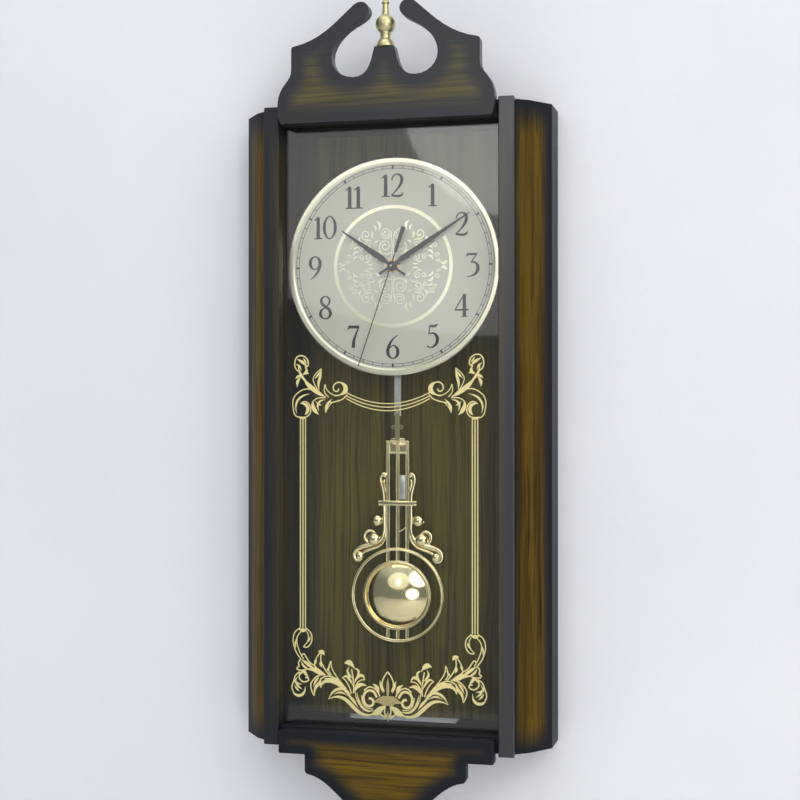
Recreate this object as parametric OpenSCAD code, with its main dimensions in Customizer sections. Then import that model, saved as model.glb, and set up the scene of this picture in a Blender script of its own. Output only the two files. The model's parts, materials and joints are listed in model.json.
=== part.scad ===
// Pendulum wall clock: a glazed wooden case with angled wings, a swan-neck pediment,
// a round dial on posts, a battery movement with its full gear train, and a gilt pendulum.
// X runs to the right, Y from the front to the wall, Z up. The wall is the plane y = 0
// and the origin is the entry hole of the keyhole hanger.

/* [Case] */
// Width between the two side boards
inner_w = 193; // [192:1:243]
// Height of the side boards
case_h = 554; // [500:1:680]
// Depth from the wall to the front edge of the side boards
case_d = 68; // [66:1:90]
// Thickness of a side board
side_t = 13.5; // [12:0.5:18]
// Thickness of the top and bottom boards
cross_t = 15; // [12:0.5:20]
// How far the top and bottom boards stop behind the ends of the side boards
cross_inset = 2; // [1:0.5:4]
// How far the front edges of the top and bottom boards stand behind the side boards
cross_setback = 3.5; // [2:0.5:6]
// Depth of the grooves that hold the glass
groove_depth = 4; // [3:0.5:6]
// Width of the notch in the rear edge of the bottom board
notch_w = 101; // [60:1:120]
// Depth of that notch, from the wall
notch_d = 22.5; // [12:0.5:30]

/* [Wings] */
// How far a wing reaches out from its side board
wing_w = 28; // [22:1:40]
// Thickness of the wing board
wing_t = 6; // [4:0.5:8]
// How far a wing starts behind the front edge of the side board
wing_setback = 7; // [4:0.5:12]
// How far a wing stops short of the ends of the side board
wing_inset = 1.5; // [0.5:0.5:4]
// Thickness of the caps that close a wing at the top and the bottom
wing_cap_t = 8; // [5:1:15]

/* [Pediment and apron] */
// Thickness of the pediment and apron boards
front_board_t = 12; // [9:0.5:16]
// Gap between those boards and the side boards
front_board_gap = 1.5; // [0.5:0.5:3]
// Height of the pediment to the tips of its scrolls
pediment_h = 101.5; // [85:0.5:120]
// Height of the apron
apron_h = 78; // [64:0.5:92]
// Gap between the top of the bottom board and the top of the apron
apron_drop = 1.5; // [0.5:0.5:3]
// Radius of the finial at its ball
finial_r = 8.6; // [7:0.1:10]

/* [Glass and back] */
// Thickness of the glass
glass_t = 2.5; // [2:0.1:4]
// Distance from the front edge of the side boards to the glass
glass_setback = 12.5; // [10:0.5:13]
// Thickness of the back panel
panel_t = 4; // [3:0.5:6]
// Width of the rebate that the back panel lies in
rebate_w = 6; // [5.5:0.5:8]
// Thickness of the hanger plate, which fills the space behind the back panel
hanger_t = 1.5; // [1.5:0.1:3]
// Radius of the keyhole's entry
keyhole_r = 4.5; // [3.5:0.1:6]
// Width of the keyhole's slot
keyhole_slot_w = 4.5; // [3:0.1:6]

/* [Dial and hands] */
// Outer radius of the dial
dial_r = 95; // [85:0.5:95]
// Distance from the hanger down to the dial's centre
dial_drop = 72; // [66:0.5:80]
// Distance from the dial's centre up to the top of the side boards
dial_to_top = 138.5; // [125:0.5:160]
// Distance from the glass's front face to the dial's face
dial_behind_glass = 10.5; // [10:0.5:16]
// Thickness of the dial
dial_t = 1; // [0.6:0.1:1.4]
// Width of the bright ring around the dial
rim_w = 6; // [4:0.5:10]
// Length of the hour hand
hour_len = 55; // [45:1:60]
// Length of the minute hand
minute_len = 82; // [70:1:84]
// Length of the second hand
second_len = 92; // [75:1:93]
// Thickness of a hand
hand_t = 0.6; // [0.4:0.1:0.8]

/* [Movement] */
// Width of the movement
move_w = 58; // [58:1:66]
// Depth of the movement
move_d = 15.5; // [15.5:0.5:18]
// Wall of the movement's case
move_wall = 1.5; // [1.2:0.1:2]
// Distance between the hand arbor and the arbors of the train
train_gap = 14; // [13.8:0.1:14.4]
// Distance between the hand arbor and the setting arbor
setting_gap = 14.5; // [14.3:0.1:15.2]
// Radius of the battery
battery_r = 7; // [5:0.1:7]

/* [Pendulum] */
// Distance from the dial's centre down to the pendulum's pivot
pivot_drop = 20; // [19:0.5:22]
// Distance from the pivot to the centre of the bob
bob_len = 267.5; // [230:0.5:290]
// Outer radius of the ring around the bob
ring_r = 41.7; // [36:0.1:48]
// Outer radius of the bob's bezel
bob_r = 30.8; // [25:0.1:33]
// Thickness of the flat bars of the pendulum
bar_t = 1.6; // [1:0.1:2]
// Width of each bar
bar_w = 3.2; // [2.5:0.1:4]
// Distance from the middle bar to an outer bar
bar_pitch = 8.7; // [7:0.1:10]

/* [Hidden] */
$fn = 64;

// Clearances
glass_play = 0.3;      // glass in its grooves, all round
panel_play = 0.3;      // back panel in its rebate
dowel_play = 0.05;     // dowel in its hole
screw_play = 0.1;      // screw in its hole
press_play = 0.02;     // hand pressed on its tube
turn_play = 0.05;      // shaft in its bore
bush_play = 0.1;       // threaded bush through the dial
layer_gap = 0.3;       // between turning pieces that pass each other

// Case
front = -case_d;
half_in = inner_w / 2;
dial_z = -dial_drop;
side_top = dial_z + dial_to_top;
side_bottom = side_top - case_h;
top_under = side_top - cross_inset - cross_t;
floor_z = side_bottom + cross_inset + cross_t;
cross_front = front + cross_setback;
glass_front = front + glass_setback;
glass_back = glass_front + glass_t;
panel_back = -hanger_t;
panel_front = panel_back - panel_t;
dowel_r = 3;
dowel_in_side = 10;
dowel_in_cross = 12;
dowel_ys = [-case_d * 0.33, -case_d * 0.68];

// Wings, as a polyline in plan: [distance out from the side board, distance behind its front]
wing_line = [[0, wing_setback], [wing_w * 0.4, wing_setback + wing_w * 0.3],
             [wing_w - 1, wing_setback + wing_w * 1.05], [wing_w, case_d]];

// Screws
screw_r = 1.4;
screw_head_r = 2.8;
screw_head_t = 1.2;
screw_len = 14;
panel_screw_x = half_in + rebate_w / 2 + 0.2;

// Hanger
hanger_w = 46;
keyhole_rise = 10;
hanger_low = -10;
hanger_high = 20;
hanger_screw = [18, 5];
pocket_w = 2 * keyhole_r + 7;

// Dial
dial_y = glass_front + dial_behind_glass;
dial_back = dial_y + dial_t;
bush_r = 4;
rim_rise = 1.2;
post_r = 5;
post_foot_r = 8;
post_foot_t = 1.5;
post_place = [62, 58];

// Movement: y of the walls, and the layers of the train from front to back
move_front = dial_back;
move_back = move_front + move_d;
inner_front = move_front + move_wall;
inner_back = move_back - move_wall;
wheel_t = 1;
hour_y = inner_front + layer_gap;
cannon_y = hour_y + wheel_t + layer_gap;
minute_y = cannon_y + wheel_t + layer_gap;
third_y = minute_y + wheel_t + 1;
second_y = third_y + wheel_t + 0.8;
inter_y = second_y + wheel_t + 0.8;
rotor_y = third_y - 0.9;
bearing_depth = 0.8;
arbor_r = 0.6;
bay_wall_z = 31.5;
battery_len = 50.5;
battery_z = bay_wall_z + move_wall + 0.5 + battery_r;
move_top = battery_z + battery_r + 0.5 + move_wall;
drive_z = -pivot_drop - 14;
move_bottom = drive_z - 11.5;

// Concentric tubes of the hands
second_r = 0.75;
minute_in = second_r + turn_play;
minute_out = 1.75;
hour_in = minute_out + turn_play;
hour_out = 2.75;
bush_in = hour_out + turn_play;
nut_t = 1.3;
washer_t = 0.3;
bush_front = dial_y - washer_t - nut_t - 0.4;
hour_hand_y = bush_front - 0.4 - 0.4;
minute_hand_y = hour_hand_y - hand_t - 1.4;
second_hand_y = minute_hand_y - hand_t - 1.2;

// Hands at rest show about ten past ten, clockwise from twelve
hour_angle = 304.8;
minute_angle = 57.3;
second_angle = 198.6;

// Train: teeth, places in the plane of the dial, and moduli from the gaps between arbors
pinion_n = 8;
third_n = 60;
minute_n = 64;
second_n = 48;
inter_n = 40;
cannon_n = 12;
setting_n = 36;
setting_pinion_n = 10;
hour_n = 40;
third_at = train_gap * [cos(210), sin(210)];
setting_at = setting_gap * [cos(330), sin(330)];
inter_at = [0, train_gap];
rotor_gap = 8.4;
rotor_dir = 20;
rotor_at = inter_at + rotor_gap * [cos(rotor_dir), sin(rotor_dir)];
third_mod = 2 * train_gap / (pinion_n + third_n);
minute_mod = 2 * train_gap / (pinion_n + minute_n);
second_mod = 2 * train_gap / (pinion_n + second_n);
inter_mod = 2 * rotor_gap / (pinion_n + inter_n);
cannon_mod = 2 * setting_gap / (cannon_n + setting_n);
hour_mod = 2 * setting_gap / (setting_pinion_n + hour_n);
tooth_top = 0.72;
tooth_root = 0.95;
tooth_share = 0.4;

// Motor and pendulum drive
magnet_r = 3;
stator_play = 0.5;
stator_t = 0.8;
core_z = 26;
core_left = -24;
core_right = 2;
bobbin_r = 4.4;
drive_r = 8;

// Pendulum
arm_y = move_back + layer_gap;
bar_back = arm_y + 0.6 + bar_t;
bar_front = bar_back - bar_t;
pivot_z = dial_z - pivot_drop;
pivot_r = 1;
bob_z = pivot_z - bob_len;
rod_w = 6;
rod_t = 1;
rod_top = pivot_z - 24;
lyre_top = bob_z + 135.5;
cap_h = 11.6;
collar_z = bob_z + 78;
collar_w = 34.2;
collar_h = 5;
knob_z = bob_z + 64;
knob_r = 4.2;
scroll_z = bob_z + 42;
hook_h = 30;
ring_w = 3;
bezel_w = 2.8;
bob_rise = 9;

// Colours
wood = "#33352f";
wood_dark = "#24272b";
gilt = "#d9cd94";
steel = "#b9bcc0";
plastic = "#1d1d1f";
gear_white = "#e9e4d4";

// Shapes drawn in the plane of the dial, standing between two depths
module slab(y0, y1) translate([0, y1, 0]) rotate([90, 0, 0]) linear_extrude(y1 - y0) children();
module rod_y(r, y0, y1) slab(y0, y1) circle(r);
module ring_y(r_in, r_out, y0, y1) slab(y0, y1) difference() { circle(r_out); circle(r_in); }
module at(p, z = dial_z) translate([p[0], 0, z + p[1]]) children();
module both() { children(); mirror([1, 0, 0]) children(); }
module block(x0, x1, y0, y1, z0, z1) translate([x0, y0, z0]) cube([x1 - x0, y1 - y0, z1 - z0]);

function bezier(a, b, c, d, steps = 6) =
    [for (i = [1:steps]) let(t = i / steps, s = 1 - t)
        s * s * s * a + 3 * s * s * t * b + 3 * s * t * t * c + t * t * t * d];
function stretch(points, kx, kz) = [for (p = points) [p[0] * kx, p[1] * kz]];
function flip(points) = [for (i = [len(points) - 1:-1:0]) [-points[i][0], points[i][1]]];
function arc(c, r, a0, a1, steps) =
    [for (i = [0:steps]) let(a = a0 + (a1 - a0) * i / steps) c + r * [cos(a), sin(a)]];
function turned_left(v) = [-v[1], v[0]] / norm(v);
function inner_corner(a, b, c, t) =
    let(n1 = turned_left(b - a), n2 = turned_left(c - b), m = (n1 + n2) / norm(n1 + n2))
    b + m * t / (m * n1);

// A screw along Y, its head's outer face at y = 0 and its point towards the front
module screw(r, head_r, head_t, len) {
    rod_y(head_r, -head_t, 0);
    rod_y(r, -head_t - len, -head_t);
}
// A toothed wheel in the plane of the dial, with the middle of one tooth at the angle first
function wheel_points(teeth, mod, first) =
    let(r = teeth * mod / 2, pitch = 360 / teeth, tip = pitch * tooth_share * 0.24,
        root = pitch * tooth_share * 0.78)
    [for (i = [0:teeth - 1]) for (k = [[-root, -tooth_root], [-tip, tooth_top],
                                       [tip, tooth_top], [root, -tooth_root]])
        (r + k[1] * mod) * [cos(first + i * pitch + k[0]), sin(first + i * pitch + k[0])]];
module wheel(teeth, mod, first, bore, y0, y1) slab(y0, y1) difference() {
    polygon(wheel_points(teeth, mod, first));
    if (bore > 0) circle(bore);
}
// The first tooth of the driven wheel at the far end of the direction dir
function meshed(dir, teeth) = dir + 180 + 180 / teeth;
module arbor(y0 = inner_front - bearing_depth, y1 = inner_back + bearing_depth)
    rod_y(arbor_r, y0, y1);
// A flat hand pointing to twelve: its outline, turned clockwise by angle, with a collar
module hand(outline, angle, y, collar_r, collar_t, bore) rotate([0, angle, 0]) {
    difference() {
        union() {
            slab(y - hand_t, y) polygon(outline);
            rod_y(collar_r, y - hand_t, y - hand_t + collar_t);
        }
        rod_y(bore, y - 2 * hand_t, y + collar_t);
    }
}

// Case
module side_board() {
    joint_zs = [top_under + cross_t / 2, floor_z - cross_t / 2];
    difference() {
        block(half_in, half_in + side_t, front, 0, side_bottom, side_top);
        block(half_in - 1, half_in + groove_depth, glass_front - glass_play / 2,
            glass_back + glass_play / 2, floor_z - groove_depth, top_under + groove_depth);
        block(half_in - 1, half_in + rebate_w, panel_front, 1, floor_z, top_under);
        for (y = dowel_ys) for (z = joint_zs)
            translate([half_in - 1, y, z]) rotate([0, 90, 0])
                cylinder(r = dowel_r + dowel_play, h = dowel_in_side + 1);
        for (z = panel_screw_zs()) translate([panel_screw_x, panel_front, z])
            rod_y(screw_r + screw_play, panel_t - screw_len - 1, 1);
    }
}
function panel_screw_zs() = [for (k = [0:3]) floor_z + 20 + k * (top_under - floor_z - 40) / 3];
module left_side_board() color(wood) mirror([1, 0, 0]) side_board();
module right_side_board() color(wood) side_board();

module cross_board(z0, groove_z) difference() {
    block(-half_in, half_in, cross_front, 0, z0, z0 + cross_t);
    block(-half_in - 1, half_in + 1, glass_front - glass_play / 2, glass_back + glass_play / 2,
        groove_z, groove_z + groove_depth + 1);
    both() for (y = dowel_ys) translate([half_in - dowel_in_cross, y, z0 + cross_t / 2])
        rotate([0, 90, 0]) cylinder(r = dowel_r + dowel_play, h = dowel_in_cross + 1);
}
module top_board() color(wood) cross_board(top_under, top_under - 1);
module bottom_board() color(wood) difference() {
    cross_board(floor_z - cross_t, floor_z - groove_depth);
    block(-notch_w / 2, notch_w / 2, -notch_d, 1, floor_z - cross_t - 1, floor_z + 1);
}
module case_dowels() color("tan") both()
    for (y = dowel_ys) for (z = [top_under + cross_t / 2, floor_z - cross_t / 2])
        translate([half_in - dowel_in_cross, y, z]) rotate([0, 90, 0])
            cylinder(r = dowel_r, h = dowel_in_cross + dowel_in_side);

module wing_plan(points) translate([half_in + side_t, front]) polygon(points);
wing_inner = [
    [0, wing_setback + wing_t / cos(atan2(wing_line[1][1] - wing_line[0][1], wing_line[1][0]))],
    inner_corner(wing_line[0], wing_line[1], wing_line[2], wing_t),
    inner_corner(wing_line[1], wing_line[2], wing_line[3], wing_t),
    [wing_w - wing_t, case_d]];
module wing() translate([0, 0, side_bottom + wing_inset]) linear_extrude(case_h - 2 * wing_inset)
    wing_plan(concat(wing_line, [for (i = [3:-1:0]) wing_inner[i]]));
module left_wing() color(wood) mirror([1, 0, 0]) wing();
module right_wing() color(wood) wing();
module wing_caps() color(wood_dark) both()
    for (z = [side_bottom + wing_inset, side_top - wing_inset - wing_cap_t])
        translate([0, 0, z]) linear_extrude(wing_cap_t)
            wing_plan(concat(wing_inner, [[0, case_d]]));

// Half of the pediment's outline, from its lower corner to the pedestal of the finial,
// drawn 95 wide and 101.5 high
pediment_half = concat([[92.3, 0]],
    bezier([92.3, 0], [94.2, 4], [95, 9], [95, 14]),
    bezier([95, 14], [95, 26], [91, 31], [86, 37]),
    bezier([86, 37], [83.3, 40], [82.5, 43], [82.5, 47], 3),
    [[82.5, 63.5]],
    bezier([82.5, 63.5], [82.5, 65.5], [82, 66], [80, 66.4], 3),
    bezier([80, 66.4], [64, 69], [51, 77.5], [40, 87.5]),
    bezier([40, 87.5], [35, 92], [31, 95.5], [27.5, 98.5], 2),
    bezier([27.5, 98.5], [24, 101.8], [19.5, 102.2], [16.5, 100], 5),
    bezier([16.5, 100], [13.5, 97.8], [12.6, 94.5], [13.8, 91.5], 4),
    bezier([13.8, 91.5], [15.6, 87.4], [22, 84.5], [27, 82], 5),
    bezier([27, 82], [38, 75.5], [46.5, 66], [46.5, 55.5]),
    bezier([46.5, 55.5], [46.5, 45.5], [38, 37.4], [27, 37.4]),
    bezier([27, 37.4], [17.5, 37.4], [13.5, 44], [11.3, 52]),
    bezier([11.3, 52], [10, 57], [9.3, 59.5], [8.6, 62.5], 3));
front_half_w = half_in - front_board_gap;
pediment_k = pediment_h / 101.5;
pedestal_z = top_under + 62.5 * pediment_k;
module pediment() color(wood) difference() {
    translate([0, 0, top_under]) slab(cross_front - front_board_t, cross_front)
        polygon(let(half = stretch(pediment_half, front_half_w / 95, pediment_k))
            concat(half, flip(half)));
    translate([0, finial_y, pedestal_z - finial_pin])
        cylinder(r = finial_pin_r + press_play, h = finial_pin + 1);
}
// Half of the apron's outline, from its shoulder down to the middle of its lowest edge
apron_half = concat([[94, 0], [94, -20.5], [70.5, -20.5], [70.5, -34]],
    bezier([70.5, -34], [70.5, -36.5], [69, -37.2], [66.5, -37.6], 3),
    bezier([66.5, -37.6], [56, -39.5], [47, -48], [39.5, -55], 8),
    bezier([39.5, -55], [34, -60], [30, -64], [28, -69], 4),
    bezier([28, -69], [24, -76], [12, -78], [0, -78], 8));
module apron() color(wood) translate([0, 0, floor_z - apron_drop])
    slab(cross_front - front_board_t, cross_front)
        polygon(let(half = stretch(apron_half, front_half_w / 95, apron_h / 78))
            concat(half, [for (i = [len(half) - 2:-1:0]) [-half[i][0], half[i][1]]]));

// The turned finial, as radius against height over the pedestal, for a ball of radius 8.6
finial_y = cross_front - front_board_t / 2;
finial_pin = 12;
finial_pin_r = 2;
finial_side = concat([[8.1, 0]], arc([0, 1], 8.2, 5, 50, 5), [[5.1, 8.6], [5.1, 10.4], [5.6, 11.2]],
    arc([0, 20], 8.6, -50, 64, 12), [[3.4, 29], [2.7, 36], [3.2, 36.6]],
    arc([0, 39.4], 3.9, -35, 60, 6), [[1.2, 45.4], [0, 46.5]]);
module finial() color(gilt) translate([0, finial_y, pedestal_z]) {
    rotate_extrude() polygon(concat([[0, 0]], stretch(finial_side, finial_r / 8.6, finial_r / 8.6)));
    translate([0, 0, -finial_pin]) cylinder(r = finial_pin_r, h = finial_pin);
}

// Glass and back
module glass_pane() color("#dfe8ea80") block(
    -half_in - groove_depth + glass_play, half_in + groove_depth - glass_play,
    glass_front, glass_back, floor_z - groove_depth + glass_play,
    top_under + groove_depth - glass_play);
access = [48, dial_z + move_bottom - 6, dial_z + move_top + 3];
module back_panel() color(wood) difference() {
    block(-half_in - rebate_w + panel_play, half_in + rebate_w - panel_play,
        panel_front, panel_back, floor_z, top_under);
    block(-access[0], access[0], panel_front - 1, panel_back + 1, access[1], access[2]);
    block(-pocket_w / 2, pocket_w / 2, panel_front - 1, panel_back + 1,
        hanger_low + 3, keyhole_rise + 5);
    both() for (z = panel_screw_zs()) translate([panel_screw_x, 0, z])
        rod_y(screw_r + screw_play, panel_front - 1, 0);
    both() translate([hanger_screw[0], 0, hanger_screw[1]]) rod_y(1.1, panel_front - 1, 0);
    post_pattern() rod_y(screw_r + screw_play, panel_front - 1, 0);
}
module panel_screws() color(steel) both() for (z = panel_screw_zs())
    translate([panel_screw_x, panel_back + screw_head_t, z])
        screw(screw_r, screw_head_r, screw_head_t, screw_len);
module hanger_plate() color(steel) difference() {
    block(-hanger_w / 2, hanger_w / 2, -hanger_t, 0, hanger_low, hanger_high);
    rod_y(keyhole_r, -hanger_t - 1, 1);
    block(-keyhole_slot_w / 2, keyhole_slot_w / 2, -hanger_t - 1, 1, 0, keyhole_rise);
    translate([0, 0, keyhole_rise]) rod_y(keyhole_slot_w / 2, -hanger_t - 1, 1);
    both() at(hanger_screw, 0) translate([0, 0.01, 0]) rotate([90, 0, 0])
        cylinder(r1 = 2.8, r2 = 1.3, h = hanger_t + 0.02);
}
module hanger_screws() color(steel) both() at(hanger_screw, 0) {
    rotate([90, 0, 0]) cylinder(r1 = 2.7, r2 = 1.05, h = hanger_t);
    rod_y(1.05, panel_front + 0.5, -hanger_t);
}

// Dial
module post_pattern() both() for (s = [-1, 1]) at([post_place[0], s * post_place[1]]) children();
module dial_plate() color("#d7d4c3") at([0, 0])
    ring_y(bush_r + bush_play, dial_r - 1, dial_y, dial_back);
module dial_rim() color(gilt) at([0, 0]) rotate([90, 0, 0]) translate([0, 0, -dial_back])
    rotate_extrude($fn = 128) polygon([[dial_r - 1, 0], [dial_r - 1, dial_t],
        [dial_r - rim_w, dial_t], [dial_r - rim_w + 1.5, dial_t + rim_rise],
        [dial_r - 1.2, dial_t + rim_rise], [dial_r, dial_t + 0.3], [dial_r, 0]]);
module dial_posts() color(plastic) post_pattern() difference() {
    union() {
        rod_y(post_r, dial_back, panel_front);
        rod_y(post_foot_r, dial_back, dial_back + post_foot_t);
    }
    rod_y(screw_r + screw_play, panel_front - screw_len + panel_t - 1, panel_front + 1);
}
module post_screws() color(steel) post_pattern() translate([0, panel_back + screw_head_t, 0])
    screw(screw_r, screw_head_r, screw_head_t, screw_len);

// Movement
cover_screw_at = [move_w / 2 - 4, move_bottom + 4];
cover_screw_high = 12;
module cover_screw_pattern() {
    both() at(cover_screw_at) children();
    both() at([cover_screw_at[0], cover_screw_high]) children();
}
bearings = [third_at, inter_at, rotor_at];
module movement_case() color(plastic) difference() {
    union() {
        translate([0, 0, dial_z]) difference() {
            block(-move_w / 2, move_w / 2, move_front, inner_back, move_bottom, move_top);
            block(-move_w / 2 + move_wall, move_w / 2 - move_wall, inner_front, inner_back + 1,
                move_bottom + move_wall, bay_wall_z);
            block(-move_w / 2 + move_wall, move_w / 2 - move_wall, inner_front, inner_back + 1,
                bay_wall_z + move_wall, move_top - move_wall);
        }
        cover_screw_pattern() rod_y(2.4, inner_front, inner_back);
    }
    at([0, 0]) rod_y(bush_r + press_play, move_front - 1, inner_front + 1);
    for (p = concat(bearings, [setting_at])) at(p)
        rod_y(arbor_r + turn_play, inner_front - bearing_depth - 0.1, inner_front + 1);
    cover_screw_pattern() rod_y(1.1, inner_back - 7, inner_back + 1);
}
module movement_cover() color("#2b2b2e") {
    difference() {
        translate([0, 0, dial_z]) block(-move_w / 2, move_w / 2, inner_back, move_back,
            move_bottom, bay_wall_z + move_wall);
        at([0, 0]) rod_y(second_r + turn_play, inner_back - 1, inner_back + bearing_depth + 0.1);
        for (p = bearings) at(p)
            rod_y(arbor_r + turn_play, inner_back - 1, inner_back + bearing_depth + 0.1);
        at(setting_at) rod_y(arbor_r + turn_play, inner_back - 1, move_back + 1);
        cover_screw_pattern() rod_y(1.2, inner_back - 1, move_back + 1);
    }
    translate([0, 0, pivot_z]) rod_y(pivot_r, move_back, arm_y + 3.2);
}
module cover_screws() color(steel) cover_screw_pattern() translate([0, move_back + 1, 0])
    screw(1, 2, 1, 7);
module centre_bush() color("#c9b26b") at([0, 0])
    ring_y(bush_in, bush_r, bush_front, inner_front);
module fixing_washer() color(steel) at([0, 0])
    ring_y(bush_r + press_play, 7.5, dial_y - washer_t, dial_y);
module fixing_nut() color("#c9b26b") at([0, 0])
    slab(dial_y - washer_t - nut_t, dial_y - washer_t) difference() {
        circle(6.5, $fn = 6);
        circle(bush_r + press_play);
    }
battery_y = inner_front + battery_r + 0.1;
module along_x(x0, x1, r, y, z) translate([x0, y, z]) rotate([0, 90, 0])
    cylinder(r = r, h = x1 - x0);
module battery() color("#3c6a4b") translate([0, 0, dial_z]) {
    along_x(-battery_len / 2 + 1, battery_len / 2, battery_r, battery_y, battery_z);
    along_x(-battery_len / 2, -battery_len / 2 + 1, battery_r * 0.4, battery_y, battery_z);
}
contact_x = move_w / 2 - move_wall - 0.5;
module battery_contacts() color(steel) translate([0, 0, dial_z]) {
    block(-contact_x - 0.4, -contact_x, inner_front, inner_back, battery_z - 5, battery_z + 5);
    along_x(-contact_x, -battery_len / 2, 2, battery_y, battery_z);
    block(contact_x, contact_x + 0.4, inner_front, inner_back, battery_z - 5, battery_z + 5);
    translate([contact_x, battery_y, battery_z]) rotate([0, -90, 0])
        cylinder(r1 = 4, r2 = 2.2, h = contact_x - battery_len / 2);
}
module circuit_board() color("#2f6b3c") translate([0, 0, dial_z]) {
    block(-26, -12, inner_back - 4, inner_back - 3, move_bottom + 9, move_bottom + 24);
    block(-22, -16, inner_back - 5, inner_back - 4, move_bottom + 13, move_bottom + 20);
    for (z = [11, 22]) translate([0, 0, move_bottom + z])
        block(-24, -22, inner_back - 3, inner_back, -1, 1);
}
module motor_bobbin() color("#efe9dc") translate([0, 0, dial_z]) difference() {
    union() {
        along_x(core_left, core_right, 2, rotor_mid, core_z);
        for (x = [core_left, core_right - 1]) along_x(x, x + 1, bobbin_r, rotor_mid, core_z);
    }
    block(core_left - 1, core_right + 1, rotor_mid - stator_t / 2 - turn_play,
        rotor_mid + stator_t / 2 + turn_play, core_z - 1.25, core_z + 1.25);
}
rotor_mid = rotor_y + 1.4;
module motor_winding() color("#b5622b") translate([core_left + 1, rotor_mid, dial_z + core_z])
    rotate([0, 90, 0]) difference() {
        cylinder(r = bobbin_r - 0.4, h = core_right - core_left - 2);
        translate([0, 0, -1]) cylinder(r = 2, h = core_right - core_left);
    }
module stator() color("#8d9095") translate([0, 0, dial_z])
    slab(rotor_mid - stator_t / 2, rotor_mid + stator_t / 2) difference() {
        union() {
            translate([core_left - 3, core_z - 1.2]) square([core_right - core_left + 7, 2.4]);
            translate([core_left - 3, core_z - 7.2]) square([2.5, 8]);
            translate([core_left - 3, core_z - 7.2]) square([rotor_at[0] - core_left, 2]);
            translate([core_right + 1.5, rotor_at[1]]) square([2.5, core_z + 1.2 - rotor_at[1]]);
            translate([rotor_at[0] - 5, rotor_at[1] - 5]) square([11, 8.6]);
        }
        translate(rotor_at) circle(magnet_r + stator_play);
    }
module drive_bobbin() color("#efe9dc") at([0, drive_z]) {
    rod_y(2.5, inner_back - 5.2, inner_back);
    rod_y(drive_r + 0.4, inner_back - 0.6, inner_back);
    rod_y(drive_r + 0.4, inner_back - 5.2, inner_back - 4.6);
}
module drive_winding() color("#b5622b") at([0, drive_z])
    ring_y(2.5, drive_r, inner_back - 4.6, inner_back - 0.6);

// Hour body
module hour_wheel() color(gear_white) at([0, 0]) {
    wheel(hour_n, hour_mod, meshed(150, hour_n), hour_in, hour_y, hour_y + wheel_t);
    ring_y(hour_in, hour_out, hour_hand_y - hand_t, hour_y);
}
hour_outline = [[-1.4, -4], [-0.9, -6], [-1.2, -14], [1.2, -14], [0.9, -6], [1.4, -4], [1.4, 7],
    [2.6, 10], [2.3, 22], [0.4, hour_len], [-0.4, hour_len], [-2.3, 22], [-2.6, 10], [-1.4, 7]];
module hour_hand() color(plastic) at([0, 0])
    hand(hour_outline, hour_angle, hour_hand_y, 4.2, 1, hour_out + press_play);

// Minute body
module minute_wheel() color(gear_white) at([0, 0]) {
    wheel(minute_n, minute_mod, meshed(30, minute_n), minute_in, minute_y, minute_y + wheel_t);
    wheel(cannon_n, cannon_mod, 330, minute_in, cannon_y, minute_y);
    ring_y(minute_in, minute_out, minute_hand_y - hand_t - 0.1, cannon_y);
}
minute_outline = [[-1.2, -4], [-0.9, -6], [-1.2, -13], [1.2, -13], [0.9, -6], [1.2, -4], [1.2, 7],
    [2.4, 11], [2, 40], [0.4, minute_len], [-0.4, minute_len], [-2, 40], [-2.4, 11], [-1.2, 7]];
module minute_hand() color(plastic) at([0, 0])
    hand(minute_outline, minute_angle, minute_hand_y, 3.4, 1, minute_out + press_play);

// Second body
module second_wheel() color(gear_white) at([0, 0]) {
    rod_y(second_r, second_hand_y - hand_t, inner_back + bearing_depth);
    wheel(pinion_n, third_mod, 210, 0, third_y - 0.4, second_y);
    wheel(second_n, second_mod, 90, 0, second_y, second_y + wheel_t);
}
second_outline = [[-0.35, -second_len], [0.35, -second_len], [0.5, 11], [1.3, 13], [1.9, 35],
    [-1.9, 35], [-1.3, 13], [-0.5, 11]];
module second_hand() color(plastic) at([0, 0])
    hand(second_outline, second_angle + 180, second_hand_y, 2.2, 1.3, second_r + press_play);

// Arbors between them
module third_wheel() color(gear_white) at(third_at) {
    arbor();
    wheel(third_n, third_mod, meshed(210, third_n), 0, third_y, third_y + wheel_t);
    wheel(pinion_n, minute_mod, 30, 0, minute_y - 0.2, third_y);
}
module setting_wheel() color(gear_white) at(setting_at) {
    arbor(y1 = move_back + 5.5);
    wheel(setting_n, cannon_mod, meshed(330, setting_n), 0, cannon_y, cannon_y + wheel_t);
    wheel(setting_pinion_n, hour_mod, 150, 0, hour_y - 0.1, cannon_y);
}
module set_knob() color("#d8d8d4") at(setting_at) slab(move_back + layer_gap, move_back + 6)
    difference() {
        union() {
            circle(5.4);
            for (a = [0:20:340]) rotate(a) translate([5.4, 0]) square([1.2, 0.8], center = true);
        }
        circle(arbor_r + press_play);
    }
module intermediate_wheel() color(gear_white) at(inter_at) {
    arbor();
    wheel(pinion_n, second_mod, meshed(90, pinion_n), 0, second_y - 0.2, inter_y);
    wheel(inter_n, inter_mod, rotor_dir, 0, inter_y, inter_y + wheel_t);
}
module rotor_pinion() color(gear_white) at(rotor_at) {
    arbor();
    wheel(pinion_n, inter_mod, meshed(rotor_dir, pinion_n), 0, inter_y - 0.2, inter_y + wheel_t);
}
module rotor_magnet() color("#55585c") at(rotor_at)
    ring_y(arbor_r + press_play, magnet_r, rotor_y, rotor_y + 2.8);

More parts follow.
